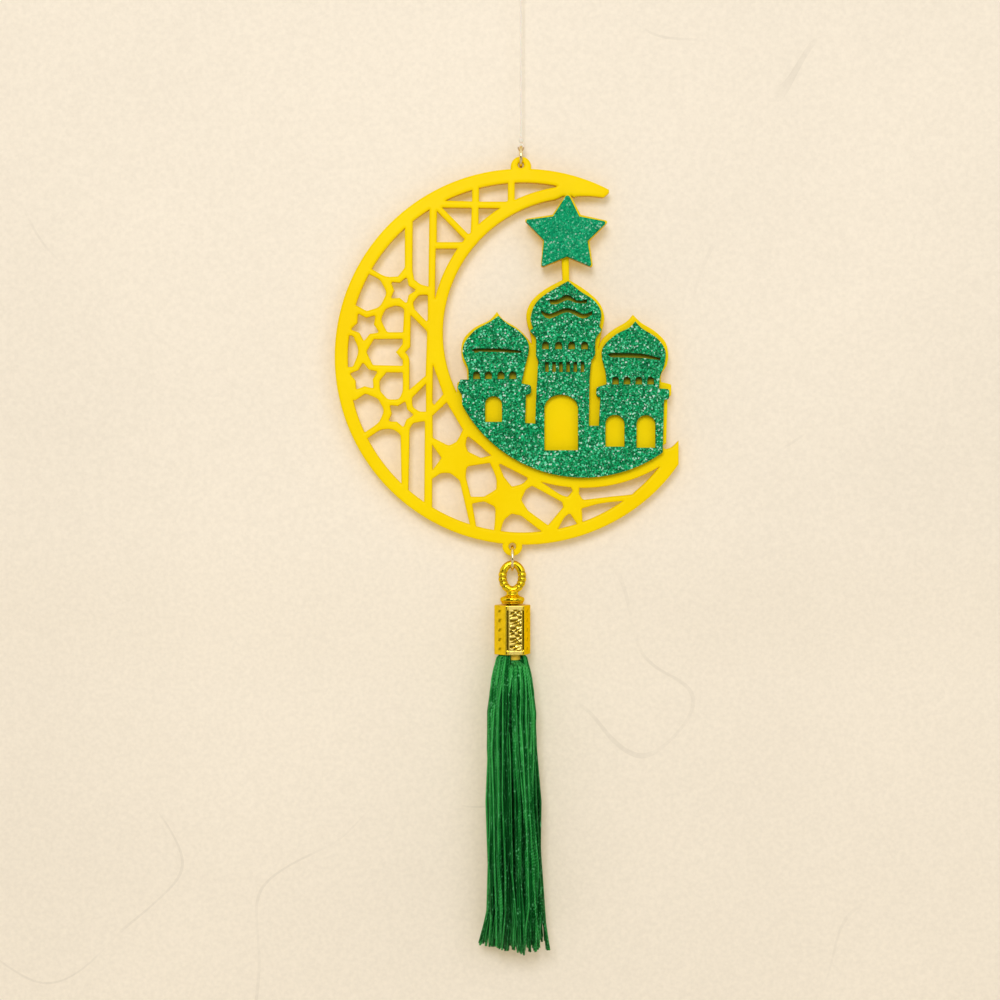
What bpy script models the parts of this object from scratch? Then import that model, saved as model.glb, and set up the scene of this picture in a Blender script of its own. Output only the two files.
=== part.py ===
"""Eid hanging ornament: a pierced crescent with a mosque and a star, hung on a thread, with a tassel.

Metres, +Z up, the front faces -Y. The origin is the hanging point: the inside top of the thread's
hanging loop. Everything below is placed from it, link by link: loop, knots, thread, top ring,
crescent, bottom ring, tassel cap and tassel.
"""
import math
import random

import bmesh
import bpy
import numpy as np
from mathutils import Matrix, Vector
from mathutils.geometry import delaunay_2d_cdt

MM = 0.001

# Thread, knots and hanging loop
THREAD = 0.45 * MM
CORD_LENGTH = 42.0 * MM
LOOP_INSIDE_HEIGHT = 8.0 * MM
LOOP_INSIDE_WIDTH = 3.6 * MM
KNOT_DIAMETER = 1.5 * MM
KNOT_HEIGHT = 1.3 * MM
EYE_CLEARANCE = 0.25 * MM
THREAD_GAP = 0.3 * MM

# Jump rings
TOP_RING_OUTER = 6.0 * MM
TOP_RING_WIRE = 0.8 * MM
BOTTOM_RING_OUTER = 7.3 * MM
BOTTOM_RING_WIRE = 0.8 * MM
RING_SLIT_ANGLE = math.radians(7.0)
SEAT_GAP = 0.25 * MM

# Crescent plate
PLATE_THICKNESS = 2.5 * MM
OUTER_RADIUS = 52.6 * MM
OUTER_RISE = 0.2 * MM
TAIL_BULGE = 0.35 * MM
OUTER_RIM = 3.7 * MM
INNER_RADIUS = 37.8 * MM
INNER_X = 15.5 * MM
INNER_Z = 6.9 * MM
INNER_RIM = 3.4 * MM
LOWER_RIM_X = 16.9 * MM
LOWER_RIM_Z = 4.7 * MM
TOP_LUG_RADIUS = 2.9 * MM
TOP_LUG_X = -0.5 * MM
TOP_LUG_RISE = 0.5 * MM
TOP_HOLE_CLEARANCE = 0.45 * MM
TOP_HOLE_RISE = 0.5 * MM
BOTTOM_LUG_RADIUS = 2.8 * MM
BOTTOM_LUG_X = -2.9 * MM
BOTTOM_LUG_DROP = 0.4 * MM
BOTTOM_HOLE_CLEARANCE = 0.6 * MM
BOTTOM_HOLE_DROP = 0.1 * MM
STEM_WIDTH = 1.95 * MM

# Glued front sheets
SHEET_THICKNESS = 2.0 * MM
GLUE_GAP = 0.3 * MM
SHEET_BASE_RADIUS = 38.3 * MM
STAR_SHIFT = 0.35 * MM
ARCH_WIDTH = 1.9 * MM
ARCH_HEIGHT = 2.1 * MM
SLOT_WIDTH = 1.0 * MM
SLOT_HEIGHT = 2.8 * MM

# Tassel cap
LOOP_WIRE = 2.0 * MM
LOOP_HALF_WIDTH = 2.73 * MM
LOOP_HALF_HEIGHT = 3.65 * MM
LOOP_SWELL = 0.1
LOOP_RIB = 0.12
NECK_RADIUS = 1.75 * MM
NECK_HEIGHT = 1.9 * MM
COLLAR_RADIUS = 3.4 * MM
COLLAR_HEIGHT = 1.55 * MM
STEP_RADIUS = 3.05 * MM
STEP_HEIGHT = 0.4 * MM
SEAM = 0.3 * MM
SPIGOT_LENGTH = 4.2 * MM
BARREL_HEIGHT = 13.8 * MM
BARREL_ACROSS_CORNERS = 10.4 * MM
BARREL_WALL = 0.7 * MM
BARREL_TOP_WALL = 1.2 * MM
BARREL_TURN = math.radians(9.6)
PANEL_DEPTH = 0.25 * MM
PANEL_MARGIN = 1.0 * MM
PANEL_RIDGES = 5
FIT_GAP = 0.3 * MM

# Core plug, yarn and binding
PLUG_PROUD = 1.6 * MM
SOCKET_WALL = 0.6 * MM
SOCKET_END_GAP = 0.9 * MM
YARN_HEAD_WALL = 0.85 * MM
YARN_HEAD_HEIGHT = 9.0 * MM
YARN_HEAD_OUT = 0.3 * MM
YARN_WAIST = 0.45 * MM
YARN_PARTING = math.radians(88.0)
BINDING_THREAD = 0.35 * MM
BINDING_TURNS = 4
BINDING_PITCH = 0.85 * MM
BINDING_DROP = 3.0 * MM
STRANDS = 300
STRAND_FILL = 0.86
ROOT_MARGIN = 0.2 * MM
SKIRT_LENGTH = 83.0 * MM
SKIRT_RADIUS = 7.1 * MM
TIP_FLARE = 0.9 * MM
TIP_RAGGED = 7.0 * MM
SKIRT_CORE = 2.0 * MM
SHOULDER_DROP = 1.3 * MM
SHOULDER_SHARE = 0.62
# Share of the skirt's length where it is at full width
FULL_SHARE = 0.2
# Layers of strands from the outside in: share of the strands, and place across the skirt's wall
STRAND_LAYERS = [(0.39, 1.0), (0.31, 0.7), (0.2, 0.39), (0.1, 0.07)]

# The two drawings are in millimetres from the crescent's centre at these radii.
DRAWN_OUTER_RADIUS = 52.6
DRAWN_INNER_RADIUS = 37.8
DRAWN_INNER_CENTRE = (15.5, 6.9)

# Lattice windows: (x, z) or (x, z, corner radius). Points beyond the rims are trimmed by them.
WINDOWS = {
    "upper_sail": [(-33.8, 38.6), (-33, 38.6), (-33, 25.1, 1.1), (-34.9, 22.7), (-38.3, 22.7), (-43.5, 25.4),
                   (-43.9, 30)],
    "upper_slot": [(-30.7, 41), (-26.1, 44), (-26.4, 19.9), (-28.5, 20.5), (-30.3, 21.8), (-30.8, 24.6)],
    "crown_wedge": [(-23.2, 43.9), (-14.2, 43.7), (-14.2, 49), (-22, 48)],
    "crown_box": [(-12.2, 51), (-4.2, 52), (-4.2, 43.6, 0.6), (-12.2, 43.6, 0.3)],
    "crown_sliver": [(-2.2, 52), (-2.2, 44.2), (4, 44.2), (9.8, 48.1), (10, 52)],
    "kite_left": [(-22.5, 41.9), (-14.3, 41.8, 0.4), (-14.6, 34.8), (-15.3, 34.6)],
    "triangle": [(-24, 40.9), (-16.4, 33.1), (-16.6, 32.3), (-24, 32.3)],
    "kite_right": [(-12.3, 41.8), (-3, 41.6), (-3, 34), (-12.3, 34)],
    "spandrel": [(-24.3, 30.4), (-14, 30.4), (-14, 14), (-24.6, 14)],
    "upper_shield": [(-50, 23.6), (-43.5, 23.6), (-40, 21.8, 2.2), (-38, 18.1, 2.2), (-40, 14.1, 2.8),
                     (-43.6, 13, 0.8), (-47.1, 14.9), (-52, 17)],
    "petal_left": [(-33.5, 7.1, 0.3), (-37.9, 7.1, 0.8), (-39.7, 10.6, 2), (-38.3, 13.6, 1.6),
                   (-35.2, 14.6, 1.6), (-33.2, 13.6, 1)],
    "petal_right": [(-26.6, 17.5, 0.4), (-29, 17.5, 1.5), (-30.7, 15.3, 1.2), (-30.2, 13.5, 0.6),
                    (-26.9, 10.1, 0.3), (-26.6, 10.6)],
    "long_panel": [(-31.3, 11.8), (-27.4, 7.9), (-26.8, 6.8), (-27.2, -5.1), (-31.7, -9), (-31.7, -0.4),
                   (-32.8, 1.5), (-31.4, 3)],
    "arrow": [(-41.6, 5.1), (-33.6, 5.2, 0.4), (-33.7, 3.7), (-35.5, 1.5), (-33.6, -0.8), (-33.6, -2.3, 0.4),
              (-41.9, -2.1, 0.6), (-43.7, 1.6, 0.8)],
    "middle_shield": [(-53, 6.1), (-47.5, 6.1, 0.8), (-45.8, 1.9, 2.6), (-47.5, -2.6, 0.8), (-53, -2.7)],
    "lower_petal_left": [(-38.1, -4.2), (-33.6, -4.2, 0.4), (-33.6, -9), (-34.5, -11.7, 1.2),
                         (-37.7, -11.7, 1.6), (-39.9, -9.3, 1.6), (-40, -6.5, 0.6)],
    "lower_petal_right": [(-27.1, -7.4), (-30.9, -11.3, 0.6), (-30.8, -13.8, 1.4), (-28.8, -15.1, 1),
                          (-27.1, -15.1)],
    "thorn": [(-25.1, -2.2), (-22.3, -10.3), (-24.8, -13.2), (-25.2, -12.4)],
    "lower_shield": [(-52, -12.1), (-46.8, -12), (-44, -10.1, 0.8), (-40.5, -11.6, 1.1), (-38.7, -14.9, 2.2),
                     (-40.5, -18.3), (-44, -20.8), (-48, -23)],
    "lower_sail": [(-44.4, -23.3), (-40, -20.4), (-36.9, -19.9, 2.2), (-34.2, -21.4, 1.7), (-33.9, -37),
                   (-38, -37)],
    "lower_slot": [(-32, -40), (-31.6, -20.2), (-30.7, -18.4, 1.1), (-27.4, -17.8, 0.4), (-27.6, -43)],
    "heart": [(-21.3, -12.6), (-16.8, -20.2, 0.4), (-18.4, -23.3), (-20.6, -24.7, 1.4), (-25.1, -22.4, 0.3),
              (-25.2, -16.3)],
    "small_triangle": [(-25.3, -24.5), (-22.8, -28.1, 0.3), (-25.2, -31.4)],
    "leaf_upper": [(-15.5, -21.9, 0.4), (-8.6, -27.3), (-11.7, -28), (-15.3, -26.3, 1.4), (-15.9, -24.4)],
    "shell": [(-15.7, -30.5, 1.2), (-9.2, -29.5, 0.4), (-7.5, -33.7), (-7.4, -36.8, 0.6), (-10.8, -38.9, 2),
              (-14.5, -38.9, 0.3), (-15.9, -33.4, 1.1)],
    "bell": [(-25.3, -34), (-22.9, -32.4, 1.3), (-20.4, -32.3, 1.6), (-17.7, -34.4, 1.4), (-13.6, -52),
             (-25.3, -52)],
    "lower_bell": [(-14.1, -40.9, 0.3), (-10.8, -40.3, 1.3), (-7.7, -41.8, 1.3), (-7.8, -45.4), (-8.4, -52),
                   (-12.5, -50)],
    "leaf_lower": [(-6.8, -29.5, 0.3), (1.6, -33.8, 0.4), (-0.2, -35.3), (-3, -36.1, 0.6), (-5.2, -33.4, 1.5)],
    "pouch": [(2.6, -35.9, 0.8), (11, -40.5, 0.8), (11.3, -41.8), (7.1, -46.9, 0.3), (1.5, -42.8, 1.6),
              (-0.4, -39.8, 1), (0.9, -37, 1)],
    "boat": [(-7.2, -52), (-5.2, -45.6), (-3.1, -43.7, 0.8), (-0.5, -44.3, 0.8), (7.5, -50.4), (7.5, -52)],
    "bud": [(4.6, -34.4), (13.4, -32), (13.4, -36.3, 0.6), (13.9, -37.3), (12.5, -39, 0.7), (10.4, -38.2)],
    "gap_triangle": [(13.1, -43.5, 0.6), (17.5, -50), (8.2, -51), (11.6, -44.9)],
    "long_leaf": [(15.8, -32), (15.8, -38.2), (16.9, -39.8, 0.8), (24.4, -38.9), (31.3, -38.2), (35.6, -34.2),
                  (39.4, -30.6), (37, -25)],
    "tail_leaf": [(16.5, -42.3, 0.3), (21.6, -40.9), (28.4, -40.1, 0.3), (33, -43), (17.4, -54)],
}

# Star-shaped windows: centre x and z, outer and inner radius, angle of one tip.
STAR_WINDOWS = {
    "first": (-33.7, 18.8, 3.9, 2.2, 0.0),
    "second": (-44.0, 8.7, 4.2, 2.4, 264.0),
    "third": (-44.4, -5.5, 4.1, 2.5, 94.0),
    "fourth": (-34.3, -15.8, 3.8, 2.3, -4.0),
}
STAR_WINDOW_CORNER = 0.35

# The upper tip's underside and rounded end, and the tail's free end and back.
UPPER_TIP = [(14.5, 44.9), (16, 45.1), (18.8, 45.1), (22.6, 44.7, 0.8), (24.3, 46.1, 0.8), (23.4, 49)]
TAIL_TIP = [(43.6, -23.2), (41.5, -25.2, 2.2), (40, -25.6)]

# Five-pointed star sheet: tips and inner corners.
STAR = [(12.5, 45.7, 0.75), (15.7, 39.1), (23.5, 37.6, 0.5), (18, 32.3), (19.2, 25, 0.5), (12.3, 28, 0.3),
        (5.1, 25, 0.5), (5.9, 32.5), (0.4, 38.1, 0.5), (8.4, 39.1)]

# Middle line of the stem, from inside the centre dome to inside the star.
STEM_LINE = [(12.05, 20), (12.05, 32)]

# Mosque: plate outline from the left ledge over the three domes to the tail, and the sheet's outline.
# Each list is one smooth stretch or a row of corners, clockwise.
BACK_LEDGE_LEFT = [(-24, -26), (-20, -14), (-18.4, -9.5), (-18.3, -6.9, 0.5), (-15.5, -6.3)]
BACK_DOME_LEFT = [[(-15.5, -6.3), (-15.7, -3.2), (-16.8, -0.9), (-17.2, 2.2), (-16.4, 5.4), (-13.4, 8.4),
                   (-9.4, 10.4), (-7.2, 12.8)],
                  [(-7.2, 12.8), (-5.4, 10.6), (-1.6, 8.3), (0.9, 5.9), (2.5, 3.8)]]
BACK_DOME_CENTRE = [[(2.5, 3.8), (2.2, 6.1), (1.2, 9.6), (1.1, 12.8), (2.8, 16.2), (6.4, 19.2), (11.1, 21.7)],
                    [(13, 21.7), (17.6, 18.8), (21.4, 15.3), (22.8, 11.4), (22.2, 7.5), (21.1, 2.4)]]
BACK_DOME_RIGHT = [[(21.1, 2.4), (22.2, 5.1), (25.4, 7.9), (28.8, 9.9), (30.8, 12)],
                   [(30.8, 12), (33.2, 9.7), (36.9, 7.4), (39.9, 4.3), (40.7, 0.6), (40.2, -2.4), (38.8, -4.6),
                    (38.7, -6.8)]]
BACK_LEDGE_RIGHT = [(38.7, -6.8), (41.6, -7.5, 0.7), (41.5, -10.6, 0.6), (40.5, -11.4, 0.3), (40.1, -25.6),
                    (39, -34), (0, -60)]

SHEET_LEDGE_LEFT = [(-16.4, -15), (-16.9, -13), (-16.9, -10.7, 0.5), (-18.2, -8.6, 0.6), (-17.5, -6.3, 0.5)]
SHEET_DOME_LEFT = [[(-15.1, -6.3), (-15.3, -3), (-16.7, 0.8), (-16.2, 3.9), (-13.4, 7.3), (-9.4, 9.6),
                    (-6.8, 11.4)],
                   [(-6.8, 11.4), (-4.4, 9.3), (-1.4, 7.4), (1, 4.9), (1.7, 2.2), (0.8, -2), (-0.4, -7.4)]]
SHEET_GAP_LEFT = [(2.3, -7.9, 0.8), (2.3, -10.3, 0.8), (0.9, -10.5, 0.4), (0.6, -18.4), (3.5, -18.6),
                  (3.7, -11.8), (4, -6.2), (4.3, -1.2, 0.5), (3.7, 0.4, 0.4), (3.7, 5.4), (1.8, 7.3, 0.4),
                  (2.9, 7.9)]
SHEET_DOME_CENTRE = [[(2.9, 7.9), (2.2, 11), (3.6, 14.9), (6.8, 17.7), (12.6, 21.1)],
                     [(12.6, 21.1), (16.1, 18.2), (19.8, 15.7), (21.8, 12.4), (21.3, 8.6)]]
SHEET_GAP_RIGHT = [(22, 7.5, 0.4), (20.3, 5), (20.1, 0.5, 0.3), (19.1, -0.9, 0.4), (18.6, -6.2), (18.4, -19.2),
                   (21.2, -19.2), (21.6, -11.3, 0.3), (20.5, -10.9, 0.7), (20.5, -8.5, 0.7), (23.4, -7.6)]
SHEET_DOME_RIGHT = [[(23.4, -7.6), (23, -4), (22, 0.4), (22.8, 3.4), (26.2, 6.4), (29.6, 8.1), (31.3, 9.9)],
                    [(31.3, 9.9), (33.2, 7.9), (37.2, 5.3), (39.6, 1.9), (39.4, -2.1), (38.2, -5.6),
                     (37.9, -8.8)]]
SHEET_LEDGE_RIGHT = [(40.8, -9, 0.7), (40.7, -11.8, 0.6), (39.3, -11.9, 0.3), (38.9, -28), (38, -50), (-12, -50)]

# Door openings: left and right side, foot and springing height, crown height.
DOORS = [(-10.5, -5.8, -18.1, -13.2, -10.9), (6.0, 15.4, -26.0, -14.4, -10.5),
         (23.0, 28.35, -25.0, -18.8, -16.1), (31.65, 36.95, -25.3, -18.8, -16.2)]
# Small arched windows: row height and the centres along it.
ARCH_ROWS = [(-5.1, (-12.9, -9.6, -6.1, -2.8)), (3.2, (6.3, 9.95, 13.6, 17.2)),
             (-6.6, (25.8, 29.0, 32.3, 35.6))]
SLOT_ROW = (-2.8, (6.7, 8.7, 10.6, 12.6, 14.6, 16.6))
DOME_BANDS = {
    "left_band": [(-14.3, 1.9), (-13.1, 2.3), (-6.4, 2.3), (-0.3, 1.7), (-0.4, 1.1), (-6.4, 1.35), (-12, 1.45),
                  (-13.2, 1.1)],
    "right_band": [(23.6, 0.7), (25, 1.1), (32.8, 0.9), (38.4, -0.3), (38.2, -0.9), (32.8, -0.3), (24.4, -0.1)],
}
WAVES = {
    "upper_wave": ([(7.4, 16), (9.6, 15.9), (12.4, 17.3), (15.2, 15.7), (18, 16)],
                   [(17.7, 14.9), (14.9, 15.0), (12.4, 15.8), (9.6, 14.7), (7.6, 14.7)]),
    "lower_wave": ([(5, 13.1), (7.5, 12), (12.3, 13.6), (16.8, 12), (19.3, 12.8)],
                   [(19.3, 11.8), (16.6, 10.7), (12.3, 12.4), (7.4, 10.6), (5.1, 12.2)]),
}

# Finishes: colour, roughness, metallic
FINISHES = {
    "yellow_plastic": ((0.97, 0.72, 0.005, 1), 0.28, 0.0),
    "green_glitter": ((0.01, 0.22, 0.075, 1), 0.45, 0.0),
    "gold": ((0.83, 0.6, 0.08, 1), 0.22, 1.0),
    "green_yarn": ((0.01, 0.16, 0.045, 1), 0.6, 0.0),
    "thread": ((0.9, 0.87, 0.8, 1), 0.4, 0.0),
}


def clear_scene():
    for obj in list(bpy.data.objects):
        bpy.data.objects.remove(obj, do_unlink=True)


def finish(name):
    """Principled material for one of the finishes."""
    if name in bpy.data.materials:
        return bpy.data.materials[name]
    colour, roughness, metallic = FINISHES[name]
    material = bpy.data.materials.new(name)
    material.use_nodes = True
    shader = material.node_tree.nodes["Principled BSDF"]
    shader.inputs["Base Color"].default_value = colour
    shader.inputs["Roughness"].default_value = roughness
    shader.inputs["Metallic"].default_value = metallic
    return material


def add_object(name, mesh, material=None):
    obj = bpy.data.objects.new(name, mesh)
    bpy.context.collection.objects.link(obj)
    if material:
        obj.data.materials.append(finish(material))
    return obj


def mesh_object(name, points, faces, material=None):
    mesh = bpy.data.meshes.new(name)
    mesh.from_pydata([tuple(p) for p in points], [], [tuple(f) for f in faces])
    mesh.update()
    return add_object(name, mesh, material)


def baked(obj):
    """Replace an object's data with its evaluated mesh, and drop its modifiers."""
    bpy.context.view_layer.update()
    shape = bpy.data.meshes.new_from_object(obj.evaluated_get(bpy.context.evaluated_depsgraph_get()))
    if obj.type == "MESH":
        obj.modifiers.clear()
        obj.data = shape
        return obj
    name = obj.name
    matrix = obj.matrix_world.copy()
    bpy.data.objects.remove(obj, do_unlink=True)
    solid = add_object(name, shape)
    solid.matrix_world = matrix
    return solid


def tidy(obj, near=0.002 * MM):
    """Weld coincident points and melt flat edges, so that cuts leave no slivers."""
    shape = bmesh.new()
    shape.from_mesh(obj.data)
    bmesh.ops.remove_doubles(shape, verts=shape.verts, dist=near)
    bmesh.ops.dissolve_limit(shape, angle_limit=math.radians(0.05), verts=shape.verts, edges=shape.edges)
    bmesh.ops.recalc_face_normals(shape, faces=shape.faces)
    shape.to_mesh(obj.data)
    shape.free()
    return obj


def combine(target, tool, operation):
    """Boolean of two closed solids; the tool is used up."""
    modifier = target.modifiers.new(operation, "BOOLEAN")
    modifier.operation = operation
    modifier.solver = "EXACT"
    modifier.object = tool
    baked(target)
    bpy.data.objects.remove(tool, do_unlink=True)
    return target


def join_meshes(name, objects):
    """One mesh of several separate closed solids."""
    shape = bmesh.new()
    for obj in objects:
        shape.from_mesh(obj.data)
    mesh = bpy.data.meshes.new(name)
    shape.to_mesh(mesh)
    shape.free()
    for obj in objects:
        bpy.data.objects.remove(obj, do_unlink=True)
    return add_object(name, mesh)


def crisp(obj, angle=35.0):
    obj.data.shade_smooth()
    obj.data.set_sharp_from_angle(angle=math.radians(angle))
    return obj


def smooth_run(points, steps=3):
    """Catmull-Rom curve through the points, ends included."""
    ends = [points[0]] + list(points) + [points[-1]]
    run = [tuple(points[0])]
    for i in range(1, len(ends) - 2):
        p0, p1, p2, p3 = (np.array(p[:2], float) for p in ends[i - 1:i + 3])
        for k in range(1, steps + 1):
            t = k / steps
            run.append(tuple(0.5 * (2 * p1 + (p2 - p0) * t + (2 * p0 - 5 * p1 + 4 * p2 - p3) * t ** 2
                                    + (3 * p1 - p0 - 3 * p2 + p3) * t ** 3)))
    return run


def outline(corners, unit=MM):
    """Closed outline in metres: each corner (x, z, radius) in drawing units becomes an arc."""
    result = []
    count = len(corners)
    for i, corner in enumerate(corners):
        here = Vector(corner[:2])
        radius = corner[2] if len(corner) > 2 else 0.0
        back = Vector(corners[i - 1][:2]) - here
        ahead = Vector(corners[(i + 1) % count][:2]) - here
        if radius < 0.05 or back.length < 1e-6 or ahead.length < 1e-6:
            result.append(here)
            continue
        half = back.angle(ahead) / 2
        reach = min(radius / math.tan(half), 0.48 * back.length, 0.48 * ahead.length)
        radius = reach * math.tan(half)
        centre = here + (back.normalized() + ahead.normalized()).normalized() * (radius / math.sin(half))
        start = here + back.normalized() * reach - centre
        end = here + ahead.normalized() * reach - centre
        sweep = start.angle_signed(end)
        pieces = max(1, round(abs(sweep) / math.radians(30)))
        for k in range(pieces + 1):
            turn = -sweep * k / pieces
            result.append(centre + Vector((start.x * math.cos(turn) - start.y * math.sin(turn),
                                           start.x * math.sin(turn) + start.y * math.cos(turn))))
    return [(p.x * unit, p.y * unit) for p in result]


def lattice_outline(corners):
    """Outline from the crescent's drawing, which grows with the crescent's outer radius."""
    return outline(corners, OUTER_RADIUS / DRAWN_OUTER_RADIUS)


def bay_outline(corners):
    """Outline from the mosque's drawing, which grows with the bay that it fills."""
    unit = INNER_RADIUS / DRAWN_INNER_RADIUS
    shift_x = INNER_X - DRAWN_INNER_CENTRE[0] * unit
    shift_z = INNER_Z - DRAWN_INNER_CENTRE[1] * unit
    return [(x + shift_x, z + shift_z) for x, z in outline(corners, unit)]


def circle(centre, radius, count):
    return [(centre[0] + radius * math.cos(2 * math.pi * k / count),
             centre[1] + radius * math.sin(2 * math.pi * k / count)) for k in range(count)]


def star_points(x, z, outer, inner, turn):
    """Five tips and five inner corners, in millimetres."""
    corners = []
    for k in range(10):
        radius = outer if k % 2 == 0 else inner
        angle = math.radians(turn + 36 * k)
        corner = STAR_WINDOW_CORNER if k % 2 == 0 else 0.0
        corners.append((x + radius * math.cos(angle), z + radius * math.sin(angle), corner))
    return corners


def prism(name, loop, front, back, shift=(0.0, 0.0), material=None):
    """Solid with the outline as its front view, from y = front to y = back."""
    count = len(loop)
    area = sum(loop[i - 1][0] * loop[i][1] - loop[i][0] * loop[i - 1][1] for i in range(count))
    if area < 0:
        loop = loop[::-1]
    points = [(x + shift[0], front, z + shift[1]) for x, z in loop]
    points += [(x + shift[0], back, z + shift[1]) for x, z in loop]
    faces = [tuple(range(count)), tuple(range(2 * count - 1, count - 1, -1))]
    faces += [(i, i + count, (i + 1) % count + count, (i + 1) % count) for i in range(count)]
    obj = mesh_object(name, points, faces, material)
    face_outward(obj)
    return obj


def face_outward(obj):
    shape = bmesh.new()
    shape.from_mesh(obj.data)
    bmesh.ops.recalc_face_normals(shape, faces=shape.faces)
    shape.to_mesh(obj.data)
    shape.free()


def lathe(name, profile, centre, segments, material=None):
    """Turned solid: a profile of (radius, z) from top to bottom, closed at the axis, about +Z."""
    points = []
    faces = []
    for radius, z in profile:
        for k in range(segments):
            angle = 2 * math.pi * k / segments
            points.append((centre[0] + radius * math.cos(angle), centre[1] + radius * math.sin(angle),
                           centre[2] + z))
    for row in range(len(profile) - 1):
        for k in range(segments):
            a = row * segments + k
            b = row * segments + (k + 1) % segments
            faces.append((a, a + segments, b + segments, b))
    faces.append(tuple(range(segments)))
    faces.append(tuple(range(len(points) - 1, len(points) - segments - 1, -1)))
    obj = mesh_object(name, points, faces, material)
    face_outward(obj)
    return obj


def tube(name, points, diameter, resolution=2, cyclic=False, radii=None, material=None):
    """Round wire or thread along the points, with filled ends unless it closes on itself."""
    curve = bpy.data.curves.new(name, "CURVE")
    curve.dimensions = "3D"
    spline = curve.splines.new("POLY")
    spline.points.add(len(points) - 1)
    for i, point in enumerate(points):
        spline.points[i].co = (*point, 1.0)
        spline.points[i].radius = radii[i] if radii else 1.0
    spline.use_cyclic_u = cyclic
    curve.bevel_depth = diameter / 2
    curve.bevel_resolution = resolution
    curve.use_fill_caps = not cyclic
    return add_object(name, curve, material)


# Places worked out down the chain, all from the hanging point

HALF_PLATE = PLATE_THICKNESS / 2
KNOT_TOP_Z = -(LOOP_INSIDE_HEIGHT + THREAD + THREAD_GAP)
CORD_TOP_Z = KNOT_TOP_Z - KNOT_HEIGHT - THREAD_GAP
CORD_BOTTOM_Z = CORD_TOP_Z - CORD_LENGTH
LOWER_KNOT_Z = CORD_BOTTOM_Z - THREAD_GAP
EYE_TOP_Z = LOWER_KNOT_Z - KNOT_HEIGHT - THREAD_GAP
EYE_RADIUS = (TOP_RING_WIRE + THREAD) / 2 + EYE_CLEARANCE
EYE_CENTRE_Z = EYE_TOP_Z - THREAD / 2 - EYE_RADIUS

TOP_RING_MEAN = (TOP_RING_OUTER - TOP_RING_WIRE) / 2
TOP_RING_INSIDE = TOP_RING_OUTER / 2 - TOP_RING_WIRE
TOP_RING_Z = EYE_CENTRE_Z - TOP_RING_MEAN
BOTTOM_RING_MEAN = (BOTTOM_RING_OUTER - BOTTOM_RING_WIRE) / 2
BOTTOM_RING_INSIDE = BOTTOM_RING_OUTER / 2 - BOTTOM_RING_WIRE


def ring_reach(inside):
    """How far from a ring's centre its bore still clears the plate's two edges."""
    return math.sqrt(inside ** 2 - HALF_PLATE ** 2)


TOP_HOLE_RADIUS = TOP_RING_WIRE / 2 + TOP_HOLE_CLEARANCE
TOP_HOLE_Z = TOP_RING_Z - ring_reach(TOP_RING_INSIDE) + SEAT_GAP - TOP_HOLE_RADIUS
TOP_PIVOT_Z = TOP_RING_Z - TOP_RING_MEAN
TOP_LUG_Z = TOP_HOLE_Z - TOP_HOLE_RISE
CENTRE_X = -TOP_LUG_X
CENTRE_Z = TOP_LUG_Z - TOP_LUG_RISE - OUTER_RISE - math.sqrt(OUTER_RADIUS ** 2 - TOP_LUG_X ** 2)
CENTRE = (CENTRE_X, CENTRE_Z)
BOTTOM_X = CENTRE_X + BOTTOM_LUG_X
BOTTOM_LUG_Z = CENTRE_Z + OUTER_RISE - math.sqrt(OUTER_RADIUS ** 2 - BOTTOM_LUG_X ** 2) - BOTTOM_LUG_DROP
BOTTOM_HOLE_RADIUS = BOTTOM_RING_WIRE / 2 + BOTTOM_HOLE_CLEARANCE
BOTTOM_HOLE_Z = BOTTOM_LUG_Z - BOTTOM_HOLE_DROP
BOTTOM_RING_Z = BOTTOM_HOLE_Z - BOTTOM_HOLE_RADIUS - ring_reach(BOTTOM_RING_INSIDE) + SEAT_GAP
BOTTOM_PIVOT_Z = BOTTOM_RING_Z + BOTTOM_RING_MEAN

CAP_X = BOTTOM_X
CAP_PIVOT_Z = BOTTOM_RING_Z - BOTTOM_RING_INSIDE + SEAT_GAP + LOOP_WIRE / 2
LOOP_BOTTOM_Z = CAP_PIVOT_Z - 2 * LOOP_HALF_HEIGHT
COLLAR_TOP_Z = LOOP_BOTTOM_Z - NECK_HEIGHT
COLLAR_BOTTOM_Z = COLLAR_TOP_Z - COLLAR_HEIGHT
BARREL_TOP_Z = COLLAR_BOTTOM_Z - STEP_HEIGHT - SEAM
BARREL_BOTTOM_Z = BARREL_TOP_Z - BARREL_HEIGHT
BARREL_APOTHEM = BARREL_ACROSS_CORNERS / 2 * math.cos(math.radians(30))
BORE_APOTHEM = BARREL_APOTHEM - BARREL_WALL
YARN_OUTER = BORE_APOTHEM - FIT_GAP
YARN_INNER = YARN_OUTER - YARN_HEAD_WALL
PLUG_RADIUS = YARN_INNER - FIT_GAP
PLUG_TOP_Z = BARREL_TOP_Z - BARREL_TOP_WALL - FIT_GAP
PLUG_BOTTOM_Z = BARREL_BOTTOM_Z - PLUG_PROUD
SPIGOT_HOLE = PLUG_RADIUS - SOCKET_WALL
SPIGOT_RADIUS = SPIGOT_HOLE - FIT_GAP
SPIGOT_END_Z = BARREL_TOP_Z + SEAM - SPIGOT_LENGTH
YARN_FOOT_Z = BARREL_BOTTOM_Z - YARN_HEAD_OUT
YARN_TOP_Z = YARN_FOOT_Z - YARN_HEAD_OUT + YARN_HEAD_HEIGHT

SHEET_BACK = -(HALF_PLATE + GLUE_GAP)
SHEET_FRONT = SHEET_BACK - SHEET_THICKNESS

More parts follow.
